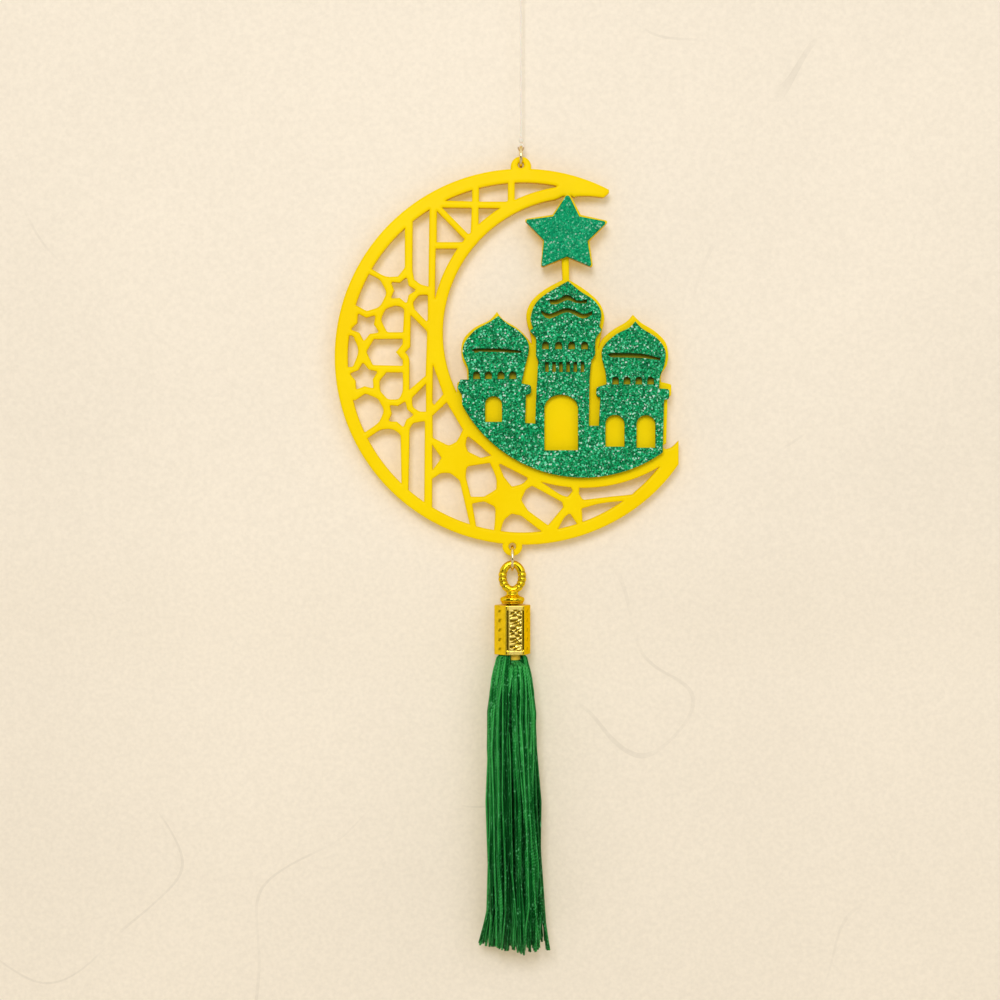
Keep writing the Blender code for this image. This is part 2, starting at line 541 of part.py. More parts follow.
# Pivots of the hanging chain, each carried by the one before
PIVOTS = {
    "hanging_point": ((0.0, 0.0, 0.0), None),
    "eye_pivot": ((0.0, 0.0, EYE_CENTRE_Z), "hanging_point"),
    "crescent_pivot": ((0.0, 0.0, TOP_PIVOT_Z), "eye_pivot"),
    "lower_ring_pivot": ((BOTTOM_X, 0.0, BOTTOM_PIVOT_Z), "crescent_pivot"),
    "tassel_pivot": ((CAP_X, 0.0, CAP_PIVOT_Z), "lower_ring_pivot"),
}


def make_pivots():
    for name, (place, above) in PIVOTS.items():
        empty = bpy.data.objects.new(name, None)
        empty.empty_display_size = 3 * MM
        bpy.context.collection.objects.link(empty)
        empty.location = place
        if above:
            empty.parent = bpy.data.objects[above]
            empty.location = Vector(place) - Vector(PIVOTS[above][0])


def hang(obj, pivot):
    """Give the object its origin at the pivot and hang it there."""
    place = Vector(PIVOTS[pivot][0])
    obj.data.transform(Matrix.Translation(-place))
    obj.parent = bpy.data.objects[pivot]
    return obj


def make_thread():
    """Hanging loop, its knot, the taut thread, the lower knot and the eye round the top ring."""
    loop_points = []
    half_width = (LOOP_INSIDE_WIDTH + THREAD) / 2
    half_height = (LOOP_INSIDE_HEIGHT + THREAD) / 2
    middle = -half_height + THREAD / 2
    count = 32
    for k in range(count):
        angle = 2 * math.pi * k / count
        pinch = 0.5 + 0.5 * math.sin(angle)
        width = half_width * (0.45 + 0.55 * pinch)
        loop_points.append((width * math.cos(angle), 0.0, middle + half_height * math.sin(angle)))
    hang(tube("hanging_loop", loop_points, THREAD, cyclic=True, material="thread"), "hanging_point")

    for name, top in (("loop_knot", KNOT_TOP_Z), ("ring_knot", LOWER_KNOT_Z)):
        radius = KNOT_DIAMETER / 2
        profile = [(0.45 * radius, 0.0), (0.85 * radius, -0.14 * KNOT_HEIGHT), (radius, -0.3 * KNOT_HEIGHT),
                   (0.86 * radius, -0.5 * KNOT_HEIGHT), (radius, -0.7 * KNOT_HEIGHT),
                   (0.85 * radius, -0.86 * KNOT_HEIGHT), (0.45 * radius, -KNOT_HEIGHT)]
        hang(crisp(lathe(name, profile, (0.0, 0.0, top), 12, "thread"), 60), "hanging_point")

    route = smooth_run([(0.0, CORD_TOP_Z / MM), (0.02, (CORD_TOP_Z - 0.3 * CORD_LENGTH) / MM),
                        (-0.02, (CORD_TOP_Z - 0.7 * CORD_LENGTH) / MM), (0.0, CORD_BOTTOM_Z / MM)], 12)
    cord_points = [(x * MM, 0.0, z * MM) for x, z in route]
    hang(tube("hanging_cord", cord_points, THREAD, material="thread"), "hanging_point")

    eye = [(x, 0.0, z) for x, z in circle((0.0, EYE_CENTRE_Z), EYE_RADIUS, 20)]
    hang(tube("ring_eye", eye, THREAD, resolution=1, cyclic=True, material="thread"), "hanging_point")


def make_ring(name, x, z, mean, wire, slit_at, pivot):
    """Jump ring in the plane across the plate, bent from round wire, with its slit."""
    count = 28
    points = []
    for k in range(count + 1):
        angle = slit_at + RING_SLIT_ANGLE / 2 + (2 * math.pi - RING_SLIT_ANGLE) * k / count
        points.append((x, mean * math.cos(angle), z + mean * math.sin(angle)))
    hang(tube(name, points, wire, resolution=1, material="gold"), pivot)


def crescent_edge():
    """Outer circle of the crescent, a little fuller at the tail."""
    loop = []
    count = 144
    for k in range(count):
        angle = 2 * math.pi * k / count
        radius = OUTER_RADIUS + TAIL_BULGE * max(0.0, math.cos(angle - math.radians(-38))) ** 12
        loop.append((radius * math.cos(angle), OUTER_RISE + radius * math.sin(angle)))
    return loop


def make_plate():
    """Crescent, lugs, mosque and star backing as one piece, pierced by the lattice windows."""
    blanks = []

    def blank(loop, shift=CENTRE):
        """Blank of its own height, so that no two blanks share a face before the slab trims them."""
        reach = PLATE_THICKNESS * (1.2 + 0.2 * len(blanks))
        blanks.append(prism(f"blank_{len(blanks)}", loop, -reach, reach, shift))

    def cutter(loop, shift=CENTRE, deeper=0):
        reach = PLATE_THICKNESS * (4 + deeper)
        return prism("cutter", loop, -reach, reach, shift)

    blank(crescent_edge())
    combine(blanks[0], cutter(circle((INNER_X, INNER_Z), INNER_RADIUS, 112)), "DIFFERENCE")
    tail_x = TAIL_TIP[0][0]
    mouth = UPPER_TIP + [(22.8, 60), (60, 60), (60, -60), (tail_x, -60)] + TAIL_TIP + [(30, -20), (20, 0)]
    combine(blanks[0], cutter(lattice_outline(mouth)), "DIFFERENCE")

    back = list(BACK_LEDGE_LEFT)
    for run in BACK_DOME_LEFT + BACK_DOME_CENTRE + BACK_DOME_RIGHT:
        back += smooth_run(run)
    back += BACK_LEDGE_RIGHT
    blank(bay_outline(drop_repeats(back)))
    base_reach = INNER_RADIUS + 0.5 * INNER_RIM
    combine(blanks[1], cutter(circle((INNER_X, INNER_Z), base_reach, 112)), "INTERSECT")

    star_at = (CENTRE_X + STAR_SHIFT, CENTRE_Z + STAR_SHIFT)
    blank(bay_outline(STAR), star_at)
    (stem_x, stem_foot), (_, stem_head) = bay_outline(STEM_LINE)
    half_stem = STEM_WIDTH / 2
    blank([(stem_x - half_stem, stem_foot), (stem_x + half_stem, stem_foot), (stem_x + half_stem, stem_head),
           (stem_x - half_stem, stem_head)])
    top_lug = (0.0, TOP_LUG_Z)
    blank(circle(top_lug, TOP_LUG_RADIUS, 32), (0.0, 0.0))
    blank(circle((BOTTOM_X, BOTTOM_LUG_Z), BOTTOM_LUG_RADIUS, 32), (0.0, 0.0))

    plate = blanks[0]
    for part in blanks[1:]:
        combine(plate, part, "UNION")

    far = 4 * OUTER_RADIUS
    slab = prism("slab", [(-far, -far), (far, -far), (far, far), (-far, far)], -HALF_PLATE, HALF_PLATE)
    combine(plate, slab, "INTERSECT")

    field = cutter(circle((0.0, 0.0), OUTER_RADIUS - OUTER_RIM, 144))
    combine(field, cutter(circle((INNER_X, INNER_Z), INNER_RADIUS + INNER_RIM, 112), deeper=1), "DIFFERENCE")
    combine(field, cutter(circle((LOWER_RIM_X, LOWER_RIM_Z), INNER_RADIUS + INNER_RIM, 112), deeper=2), "DIFFERENCE")
    shapes = [lattice_outline(corners) for corners in WINDOWS.values()]
    shapes += [lattice_outline(star_points(*numbers)) for numbers in STAR_WINDOWS.values()]
    windows = join_meshes("windows", [prism("window", loop, -PLATE_THICKNESS, PLATE_THICKNESS, CENTRE)
                                      for loop in shapes])
    combine(windows, field, "INTERSECT")
    holes = [(0.0, TOP_HOLE_Z, TOP_HOLE_RADIUS), (BOTTOM_X, BOTTOM_HOLE_Z, BOTTOM_HOLE_RADIUS)]
    drills = [cutter(circle((x, z), radius, 20), (0.0, 0.0)) for x, z, radius in holes]
    combine(plate, join_meshes("cuts", [windows] + drills), "DIFFERENCE")
    plate.name = "crescent_plate"
    plate.data.materials.clear()
    plate.data.materials.append(finish("yellow_plastic"))
    return hang(crisp(tidy(plate)), "crescent_pivot")


def drop_repeats(points):
    """The same points without one that repeats its neighbour."""
    kept = []
    for point in points:
        if not kept or math.dist(kept[-1][:2], point[:2]) > 0.05:
            kept.append(point)
    return kept


def door(left, right, foot, spring, crown):
    """Arched opening: straight sides, a half-ellipse head and a level foot."""
    middle = (left + right) / 2
    half = (right - left) / 2
    head = [(middle + half * math.cos(math.radians(a)), spring + (crown - spring) * math.sin(math.radians(a)))
            for a in range(0, 181, 20)]
    return [(right, foot)] + head + [(left, foot)]


def make_mosque_sheet():
    """Front sheet of the mosque with its doors, windows, bands and waves cut through."""
    edge = list(SHEET_LEDGE_LEFT)
    for run in SHEET_DOME_LEFT:
        edge += smooth_run(run)
    edge += SHEET_GAP_LEFT
    for run in SHEET_DOME_CENTRE:
        edge += smooth_run(run)
    edge += SHEET_GAP_RIGHT
    for run in SHEET_DOME_RIGHT:
        edge += smooth_run(run)
    edge += SHEET_LEDGE_RIGHT
    sheet = prism("mosque_sheet", bay_outline(drop_repeats(edge)), SHEET_FRONT, SHEET_BACK, CENTRE)

    reach = 2 * SHEET_THICKNESS
    front = SHEET_FRONT - reach
    back = SHEET_BACK + reach
    foot = prism("foot", circle((LOWER_RIM_X, LOWER_RIM_Z), SHEET_BASE_RADIUS, 112), front, back, CENTRE)
    combine(sheet, foot, "INTERSECT")

    openings = [bay_outline(door(*numbers)) for numbers in DOORS]
    for row, centres in ARCH_ROWS:
        for x, z in bay_outline([(x, row) for x in centres]):
            foot_z = z - ARCH_HEIGHT / 2
            openings.append(door(x - ARCH_WIDTH / 2, x + ARCH_WIDTH / 2, foot_z,
                                 foot_z + ARCH_HEIGHT - ARCH_WIDTH / 2, foot_z + ARCH_HEIGHT))
    row, centres = SLOT_ROW
    for x, z in bay_outline([(x, row) for x in centres]):
        left, right = x - SLOT_WIDTH / 2, x + SLOT_WIDTH / 2
        low, high = z - SLOT_HEIGHT / 2, z + SLOT_HEIGHT / 2
        openings.append([(left, low), (right, low), (right, high), (left, high)])
    openings += [bay_outline(band) for band in DOME_BANDS.values()]
    openings += [bay_outline(drop_repeats(smooth_run(upper) + smooth_run(lower)))
                 for upper, lower in WAVES.values()]
    cuts = join_meshes("cuts", [prism("cut", loop, front, back, CENTRE) for loop in openings])
    combine(sheet, cuts, "DIFFERENCE")
    sheet.data.materials.clear()
    sheet.data.materials.append(finish("green_glitter"))
    return hang(crisp(tidy(sheet)), "crescent_pivot")


def make_star_sheet():
    sheet = prism("star_sheet", bay_outline(STAR), SHEET_FRONT, SHEET_BACK, CENTRE, "green_glitter")
    return hang(crisp(sheet), "crescent_pivot")


def make_finial():
    """Ribbed loop, neck, collar and spigot, moulded in one."""
    count = 48
    points = []
    radii = []
    for k in range(count):
        angle = 2 * math.pi * k / count
        points.append((CAP_X + LOOP_HALF_WIDTH * math.sin(angle), 0.0,
                       CAP_PIVOT_Z - LOOP_HALF_HEIGHT + LOOP_HALF_HEIGHT * math.cos(angle)))
        lower = 0.5 - 0.5 * math.cos(angle)
        ribbed = 0.3 < lower < 0.93
        radii.append(1.0 + LOOP_SWELL * lower + (LOOP_RIB * math.cos(angle * 12) if ribbed else 0.0))
    loop = baked(tube("cap_finial", points, LOOP_WIRE, resolution=2, cyclic=True, radii=radii))

    step_foot = -COLLAR_HEIGHT - STEP_HEIGHT
    spigot_end = SPIGOT_END_Z - COLLAR_TOP_Z
    profile = [(0.7 * NECK_RADIUS, NECK_HEIGHT), (NECK_RADIUS, 0.75 * NECK_HEIGHT),
               (0.92 * NECK_RADIUS, 0.35 * NECK_HEIGHT), (1.25 * NECK_RADIUS, 0.05 * NECK_HEIGHT),
               (0.88 * COLLAR_RADIUS, 0.0), (COLLAR_RADIUS, -0.25 * COLLAR_HEIGHT),
               (COLLAR_RADIUS, -0.75 * COLLAR_HEIGHT), (0.9 * COLLAR_RADIUS, -COLLAR_HEIGHT),
               (STEP_RADIUS, -COLLAR_HEIGHT), (STEP_RADIUS, step_foot), (SPIGOT_RADIUS, step_foot),
               (SPIGOT_RADIUS, spigot_end + 0.2 * SPIGOT_RADIUS), (0.8 * SPIGOT_RADIUS, spigot_end)]
    body = lathe("body", profile, (CAP_X, 0.0, COLLAR_TOP_Z), 32)
    combine(loop, body, "UNION")
    loop.data.materials.clear()
    loop.data.materials.append(finish("gold"))
    return hang(crisp(tidy(loop)), "tassel_pivot")


def hexagon(apothem, turn=BARREL_TURN):
    """Hexagon seen from above, with one face's middle turned from the front by the angle."""
    radius = apothem / math.cos(math.radians(30))
    return [(CAP_X + radius * math.cos(math.radians(-90 + 30 + 60 * k) + turn),
             radius * math.sin(math.radians(-90 + 30 + 60 * k) + turn)) for k in range(6)]


def upright(name, loop, bottom, top, material=None):
    """Solid with the outline as its plan view, from z = bottom to z = top."""
    count = len(loop)
    points = [(x, y, bottom) for x, y in loop] + [(x, y, top) for x, y in loop]
    faces = [tuple(range(count - 1, -1, -1)), tuple(range(count, 2 * count))]
    faces += [(i, (i + 1) % count, (i + 1) % count + count, i + count) for i in range(count)]
    obj = mesh_object(name, points, faces, material)
    face_outward(obj)
    return obj


def make_barrel():
    """Hexagonal shell with a framed relief panel on each face and a hole for the spigot."""
    barrel = upright("cap_barrel", hexagon(BARREL_APOTHEM), BARREL_BOTTOM_Z, BARREL_TOP_Z)
    bore = upright("bore", hexagon(BORE_APOTHEM), BARREL_BOTTOM_Z - 1 * MM, BARREL_TOP_Z - BARREL_TOP_WALL)
    combine(barrel, bore, "DIFFERENCE")
    hole = lathe("hole", [(SPIGOT_HOLE, 1 * MM), (SPIGOT_HOLE, -BARREL_TOP_WALL - 1 * MM)],
                 (CAP_X, 0.0, BARREL_TOP_Z), 24)
    combine(barrel, hole, "DIFFERENCE")

    side = BARREL_ACROSS_CORNERS / 2
    half = side / 2 - PANEL_MARGIN
    low = BARREL_BOTTOM_Z + PANEL_MARGIN
    high = BARREL_TOP_Z - PANEL_MARGIN
    pitch = (high - low) / PANEL_RIDGES
    slant = 0.28 * pitch
    ridge = 0.26 * pitch
    pockets = []
    for face in range(6):
        angle = math.radians(-90 + 60 * face) + BARREL_TURN
        outward = Vector((math.cos(angle), math.sin(angle), 0.0))
        along = Vector((-math.sin(angle), math.cos(angle), 0.0))
        middle = Vector((CAP_X, 0.0, 0.0)) + outward * BARREL_APOTHEM
        for k in range(PANEL_RIDGES):
            foot = low + k * pitch
            head = foot + pitch - (ridge if k < PANEL_RIDGES - 1 else 0.0)
            drop = [0.0 if k == 0 else -slant, 0.0 if k == 0 else slant]
            rise = [0.0 if k == PANEL_RIDGES - 1 else slant, 0.0 if k == PANEL_RIDGES - 1 else -slant]
            if k == 0:
                drop = [0.0, 0.0]
            section = [(-half, foot + drop[0]), (half, foot + drop[1]), (half, head + rise[0]),
                       (-half, head + rise[1])]
            points = [middle + along * u + Vector((0, 0, z)) + outward * d
                      for d in (1 * MM, -PANEL_DEPTH) for u, z in section]
            faces = [(0, 1, 2, 3), (7, 6, 5, 4), (0, 4, 5, 1), (1, 5, 6, 2), (2, 6, 7, 3), (3, 7, 4, 0)]
            pocket = mesh_object("pocket", points, faces)
            face_outward(pocket)
            pockets.append(pocket)
    combine(barrel, join_meshes("pockets", pockets), "DIFFERENCE")
    barrel.data.materials.clear()
    barrel.data.materials.append(finish("gold"))
    return hang(crisp(tidy(barrel)), "tassel_pivot")


def make_plug():
    """Plated core that takes the spigot in its socket and shows below the barrel."""
    height = PLUG_TOP_Z - PLUG_BOTTOM_Z
    edge = 0.1 * PLUG_RADIUS
    profile = [(PLUG_RADIUS - edge, 0.0), (PLUG_RADIUS, -edge), (PLUG_RADIUS, -height + 2 * edge),
               (PLUG_RADIUS - 0.6 * edge, -height + 0.6 * edge), (PLUG_RADIUS - 2 * edge, -height)]
    plug = lathe("core_plug", profile, (CAP_X, 0.0, PLUG_TOP_Z), 24)
    socket_foot = SPIGOT_END_Z - SOCKET_END_GAP - PLUG_TOP_Z
    socket = lathe("socket", [(SPIGOT_HOLE, height), (SPIGOT_HOLE, socket_foot)], (CAP_X, 0.0, PLUG_TOP_Z), 24)
    combine(plug, socket, "DIFFERENCE")
    plug.data.materials.clear()
    plug.data.materials.append(finish("gold"))
    return hang(crisp(tidy(plug)), "tassel_pivot")


def parted(angle_share, parting):
    """Angle round the tassel for a share 0 to 1, leaving the parting open at the front."""
    return -math.pi / 2 + parting / 2 + (2 * math.pi - parting) * angle_share


def make_yarn():
    """Glued head of the yarn inside the barrel, with the strands fused to its foot.

    The head is a C in plan, parted at the front round the core plug. The strands start as small
    triangles in the head's foot, keep their order round and across the tassel, and spread into a
    full round skirt below the plug.
    """
    rows = 20
    inner = [(parted(k / rows, YARN_PARTING), YARN_INNER) for k in range(rows + 1)]
    outer = [(parted(k / rows, YARN_PARTING), YARN_OUTER) for k in range(rows, -1, -1)]
    plan = [(r * math.cos(a), r * math.sin(a)) for a, r in inner + outer]

    def scaled(radius_out):
        changed = outer_ring(radius_out)
        return [(r * math.cos(a), r * math.sin(a)) for a, r in inner + changed]

    def outer_ring(radius_out):
        return [(a, radius_out) for a, _ in outer]

    waist = YARN_OUTER - YARN_WAIST
    waist_top = YARN_TOP_Z - BINDING_DROP + 0.8 * MM
    waist_foot = YARN_TOP_Z - BINDING_DROP - BINDING_TURNS * BINDING_PITCH - 0.8 * MM
    levels = [(YARN_TOP_Z, scaled(waist)), (YARN_TOP_Z - 0.5 * MM, scaled(YARN_OUTER)),
              (waist_top + 0.3 * MM, scaled(YARN_OUTER)), (waist_top, scaled(waist)),
              (waist_foot, scaled(waist)), (waist_foot - 0.3 * MM, scaled(YARN_OUTER)), (YARN_FOOT_Z, plan)]

    count = len(plan)
    points = [(CAP_X + x, y, z) for z, loop in levels for x, y in loop]
    faces = [(k, k + 1, 2 * rows - k, 2 * rows + 1 - k) for k in range(rows)]
    for level in range(len(levels) - 1):
        base = level * count
        for k in range(count):
            n = (k + 1) % count
            faces.append((base + k, base + count + k, base + count + n, base + n))

    strands = strand_places()
    foot_start = (len(levels) - 1) * count
    flat = [Vector(p) for p in plan]
    edges = []
    for place in strands:
        first = len(flat)
        flat += [Vector(corner) for corner in strand_section(place, 0)]
        edges += [(first, first + 1), (first + 1, first + 2), (first + 2, first)]
    ring = list(range(count))[::-1]
    verts, _, filled, _, _, owners = delaunay_2d_cdt(flat, edges, [ring], 0, 1e-9, True)
    if len(verts) != len(flat):
        raise ValueError("two strands touch where they leave the yarn's head")
    points += [(CAP_X + p.x, p.y, YARN_FOOT_Z) for p in flat[count:]]
    for face, owner in zip(filled, owners):
        roots = {(i - count) // 3 if i >= count else -1 for i in face}
        if 0 in owner and (len(roots) > 1 or -1 in roots):
            faces.append(tuple(foot_start + i for i in face))

    for number, place in enumerate(strands):
        previous = [foot_start + count + 3 * number + k for k in range(3)]
        for bend in (1, 2, 3):
            first = len(points)
            points += [(CAP_X + x, y, strand_height(place, bend)) for x, y in strand_section(place, bend)]
            now = [first, first + 1, first + 2]
            for k in range(3):
                n = (k + 1) % 3
                faces.append((previous[k], previous[n], now[n], now[k]))
            previous = now
        faces.append(tuple(previous))

    yarn = mesh_object("tassel_yarn", points, faces, "green_yarn")
    face_outward(yarn)
    return hang(yarn, "tassel_pivot")


def strand_places():
    """Share round the tassel, layer, shortening and lean of each strand."""
    chance = random.Random(7)
    places = []
    for layer, (share, _) in enumerate(STRAND_LAYERS):
        count = round(STRANDS * share)
        for k in range(count):
            shortening = TIP_RAGGED * chance.random() ** 1.5
            places.append(((k + 0.5) / count, layer, shortening, chance.uniform(-1.0, 1.0)))
    return places


def strand_height(place, bend):
    """Height of a strand's bend: shoulder below the plug, full width, ragged tip."""
    if bend == 1:
        return PLUG_BOTTOM_Z - SHOULDER_DROP
    if bend == 2:
        return YARN_FOOT_Z - FULL_SHARE * SKIRT_LENGTH
    return YARN_FOOT_Z - SKIRT_LENGTH + place[2]


def strand_section(place, bend):
    """Triangle of one strand at a bend, as large as its layer leaves room for there."""
    around, layer, _, lean = place
    share, across = STRAND_LAYERS[layer]
    parting = YARN_PARTING if bend == 0 else 0.0
    inner, outer = [
        (YARN_INNER + ROOT_MARGIN, YARN_OUTER - ROOT_MARGIN),
        (YARN_INNER + ROOT_MARGIN, SHOULDER_SHARE * SKIRT_RADIUS),
        (SKIRT_CORE, SKIRT_RADIUS),
        (SKIRT_CORE, SKIRT_RADIUS + TIP_FLARE),
    ][bend]
    radius = inner + (outer - inner) * across
    layer_room = (outer - inner) / len(STRAND_LAYERS)
    side = STRAND_FILL * min(radius * (2 * math.pi - parting) / round(STRANDS * share), layer_room)
    if bend == 3:
        radius += 0.3 * layer_room * lean
    angle = parted(around, parting)
    size = side / math.sqrt(3)
    return [(radius * math.cos(angle) + size * math.cos(angle + math.radians(a)),
             radius * math.sin(angle) + size * math.sin(angle + math.radians(a))) for a in (60, 180, 300)]


def make_binding():
    """Thread wound round the yarn's head inside the barrel, one unbroken tube."""
    radius = YARN_OUTER - YARN_WAIST + 0.05 * MM + BINDING_THREAD / 2
    steps = 20
    points = []
    for k in range(BINDING_TURNS * steps + 1):
        angle = 2 * math.pi * k / steps
        points.append((CAP_X + radius * math.cos(angle), radius * math.sin(angle),
                       YARN_TOP_Z - BINDING_DROP - BINDING_PITCH * k / steps))
    path = np.array(points)
    apart = min(np.linalg.norm(path[i] - path[i + steps]) for i in range(len(path) - steps))
    print(f"least gap between the binding's turns: {(apart - BINDING_THREAD) / MM:.2f} mm")
    hang(tube("head_binding", points, BINDING_THREAD, resolution=1, material="green_yarn"), "tassel_pivot")


def main():
    clear_scene()
    make_pivots()
    make_thread()
    make_ring("top_ring", 0.0, TOP_RING_Z, TOP_RING_MEAN, TOP_RING_WIRE, math.radians(35), "eye_pivot")
    make_plate()
    make_mosque_sheet()
    make_star_sheet()
    make_ring("bottom_ring", BOTTOM_X, BOTTOM_RING_Z, BOTTOM_RING_MEAN, BOTTOM_RING_WIRE, math.radians(10),
              "lower_ring_pivot")
    make_finial()
    make_barrel()
    make_plug()
    make_yarn()
    make_binding()


main()
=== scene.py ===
"""Looks of the hanging crescent ornament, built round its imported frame.

Every solid of the frame gets a finer piece in its place: the plate and the glitter sheets get rounded
edges and their finish, the plated cap its relief, the thread its twist, and the tassel its loose yarn.
Metres, +Z up, the front faces -Y, and the origin is the inside top of the thread's hanging loop.
"""

import bpy
import numpy as np
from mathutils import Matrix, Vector
from mathutils.geometry import delaunay_2d_cdt


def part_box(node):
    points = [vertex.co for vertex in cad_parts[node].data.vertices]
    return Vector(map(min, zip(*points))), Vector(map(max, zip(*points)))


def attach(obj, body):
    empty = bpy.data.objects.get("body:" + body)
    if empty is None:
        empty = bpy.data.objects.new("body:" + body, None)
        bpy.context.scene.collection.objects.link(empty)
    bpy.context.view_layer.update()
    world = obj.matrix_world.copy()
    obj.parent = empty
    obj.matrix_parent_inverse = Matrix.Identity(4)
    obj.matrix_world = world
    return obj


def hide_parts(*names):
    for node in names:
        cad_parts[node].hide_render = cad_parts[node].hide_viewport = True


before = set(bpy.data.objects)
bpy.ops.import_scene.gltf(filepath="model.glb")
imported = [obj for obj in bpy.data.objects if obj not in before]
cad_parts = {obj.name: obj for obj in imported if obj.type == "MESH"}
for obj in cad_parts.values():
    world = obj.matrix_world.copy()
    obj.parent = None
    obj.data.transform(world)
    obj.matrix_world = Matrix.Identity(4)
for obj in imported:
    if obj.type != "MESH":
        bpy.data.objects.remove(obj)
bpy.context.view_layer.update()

MM = 0.001
TURN = 2 * np.pi

# Camera: the photograph is 1000 pixels wide, 280 mm at the plate
PIXEL = 0.28 * MM
CRESCENT_CENTRE = np.array([0.5, 0.0, -114.158]) * MM
CRESCENT_PIXEL = (522.7, 357.7)
PICTURE_MIDDLE = 500
CAMERA_DISTANCE = 550 * MM
SENSOR_WIDTH = 36.0

# Thread, with the same route as the frame's cord
THREAD = 0.45 * MM
THREAD_WHITE = (0.94, 0.87, 0.76)
CORD_TOP = -10.35 * MM
CORD_LENGTH = 42.0 * MM
CORD_BOTTOM = CORD_TOP - CORD_LENGTH
CORD_SWAY = 0.02 * MM
CORD_POINTS = 37
THREAD_SIDES = 12
LINE_POINTS = 421
LOOP_POINTS = 120
LOOP_MIDDLE = -4.0 * MM
LOOP_HALF_HEIGHT = 4.225 * MM
LOOP_HALF_WIDTH = 2.025 * MM
KNOT_TOPS = {"loop_knot": -8.75 * MM, "ring_knot": -52.65 * MM}
KNOT_HEIGHT = 1.3 * MM
KNOT_RADIUS = 0.72 * MM
KNOT_TURNS = 3
EYE_MIDDLE = -55.35 * MM
EYE_RADIUS = 0.875 * MM
EYE_HALF_WIDTH = 0.73 * MM

# Jump rings: x, height of the middle, outer diameter, wire, angle of the slit
RINGS = {
    "top_ring": (0.0, -57.95 * MM, 6.0 * MM, 0.8 * MM, np.radians(60)),
    "bottom_ring": (-2.4 * MM, -170.289 * MM, 7.3 * MM, 0.8 * MM, np.radians(20)),
}
RING_SLIT = np.radians(7)
RING_POINTS = 121
RING_BODIES = {"top_ring": "upper_ring", "bottom_ring": "lower_ring"}

# Tassel cap
CAP_X = -2.4 * MM
EYELET_TOP = -171.889 * MM
EYELET_HALF_WIDTH = 2.73 * MM
EYELET_HALF_HEIGHT = 3.65 * MM
EYELET_WIRE = 2.0 * MM
EYELET_POINTS = 224
EYELET_WAVES = 9
COLLAR_TOP = -181.089 * MM
COLLAR_HEIGHT = 1.55 * MM
COLLAR_RADIUS = 3.4 * MM
NECK_RADIUS = 1.75 * MM
NECK_HEIGHT = 1.9 * MM
STEP_RADIUS = 3.05 * MM
STEP_HEIGHT = 0.4 * MM
SPIGOT_RADIUS = 1.453 * MM
SPIGOT_END = -187.239 * MM
BARREL_TOP = -183.339 * MM
BARREL_BOTTOM = -197.139 * MM
BARREL_RADIUS = 5.2 * MM
BARREL_WALL = 0.7 * MM
BARREL_TOP_WALL = 1.2 * MM
BARREL_TURN = np.radians(9.6)
BARREL_EDGE = 0.2 * MM
CORNER_DROP = 0.1 * MM
FACE_COLUMNS = 48
RELIEF_ROWS = 181
SPIGOT_HOLE = 1.753 * MM
RELIEF_DEPTH = 0.25 * MM
PLUG_RADIUS = 2.353 * MM
PLUG_TOP = -184.839 * MM
PLUG_BOTTOM = -198.739 * MM
SOCKET_FOOT = -188.139 * MM

# Tassel yarn
YARN_TOP = -188.739 * MM
YARN_FOOT = -197.439 * MM
YARN_INNER = 2.653 * MM
YARN_OUTER = 3.503 * MM
YARN_PARTING = np.radians(88)
WAIST_TOP = -190.94 * MM
WAIST_FOOT = -195.94 * MM
WAIST_SLOPE = 0.3 * MM
HEAD_POINTS = 48
PARTING_MIDDLE = np.radians(30)
PARTING_FOOT = np.radians(76)
BINDING_RADIUS = 3.278 * MM
BINDING_TOP = -191.739 * MM
BINDING_PITCH = 0.85 * MM
BINDING_TURNS = 4
BINDING_THREAD = 0.35 * MM
BINDING_POINTS = 60 * BINDING_TURNS + 1
STRAND_RADIUS = 0.34 * MM
SKIRT_PROFILE = np.array([(-197.1, 3.6), (-197.5, 4.05), (-198.2, 4.3), (-199.3, 4.5), (-200.2, 4.7),
                          (-202.2, 5.25), (-204.4, 5.65), (-207.2, 6.05), (-210.0, 6.35), (-215.6, 6.7),
                          (-221.0, 6.8), (-236.0, 6.85), (-244.0, 7.2), (-257.0, 7.25), (-264.6, 7.25),
                          (-280.6, 7.3)]) * MM
SKIRT_MIDDLE = np.array([(-200.0, -0.1), (-214.0, -0.3), (-227.0, -0.3), (-236.0, 0.15), (-246.0, 0.3),
                         (-257.0, 0.6), (-266.0, 1.05), (-272.0, 0.9), (-280.6, 0.5)]) * MM
STRAND_LEVELS = np.array([0, 0.35, 0.7, 1.2, 1.7, 2.1, 2.6, 4.2, 7, 11, 17, 27, 42, 60, 73, 83]) / 83
STRAND_SIDES = 4

# The strands gather in tufts, tufts in locks, and all draw to a few tails: how many, and how strongly
STRAND_TUFTS = 120
STRAND_LOCKS = 24
STRAND_TAILS = 13
TUFT_PULL = 0.35
LOCK_PULL = 0.4
TAIL_PULL = 0.5
LOCK_TURN = 0.045
LOCK_REACH = 0.055
LOWEST_TIP = -280.9 * MM
TUFT_RAGGED = 3.0 * MM
TAIL_RAGGED = 1.8 * MM
TIP_RAGGED = 1.8 * MM
CORE_SHORTER = 2.2 * MM
TAIL_REACH = 20 * MM
STRAY = 0.2 * MM
BACK_LIMIT = 6.75 * MM

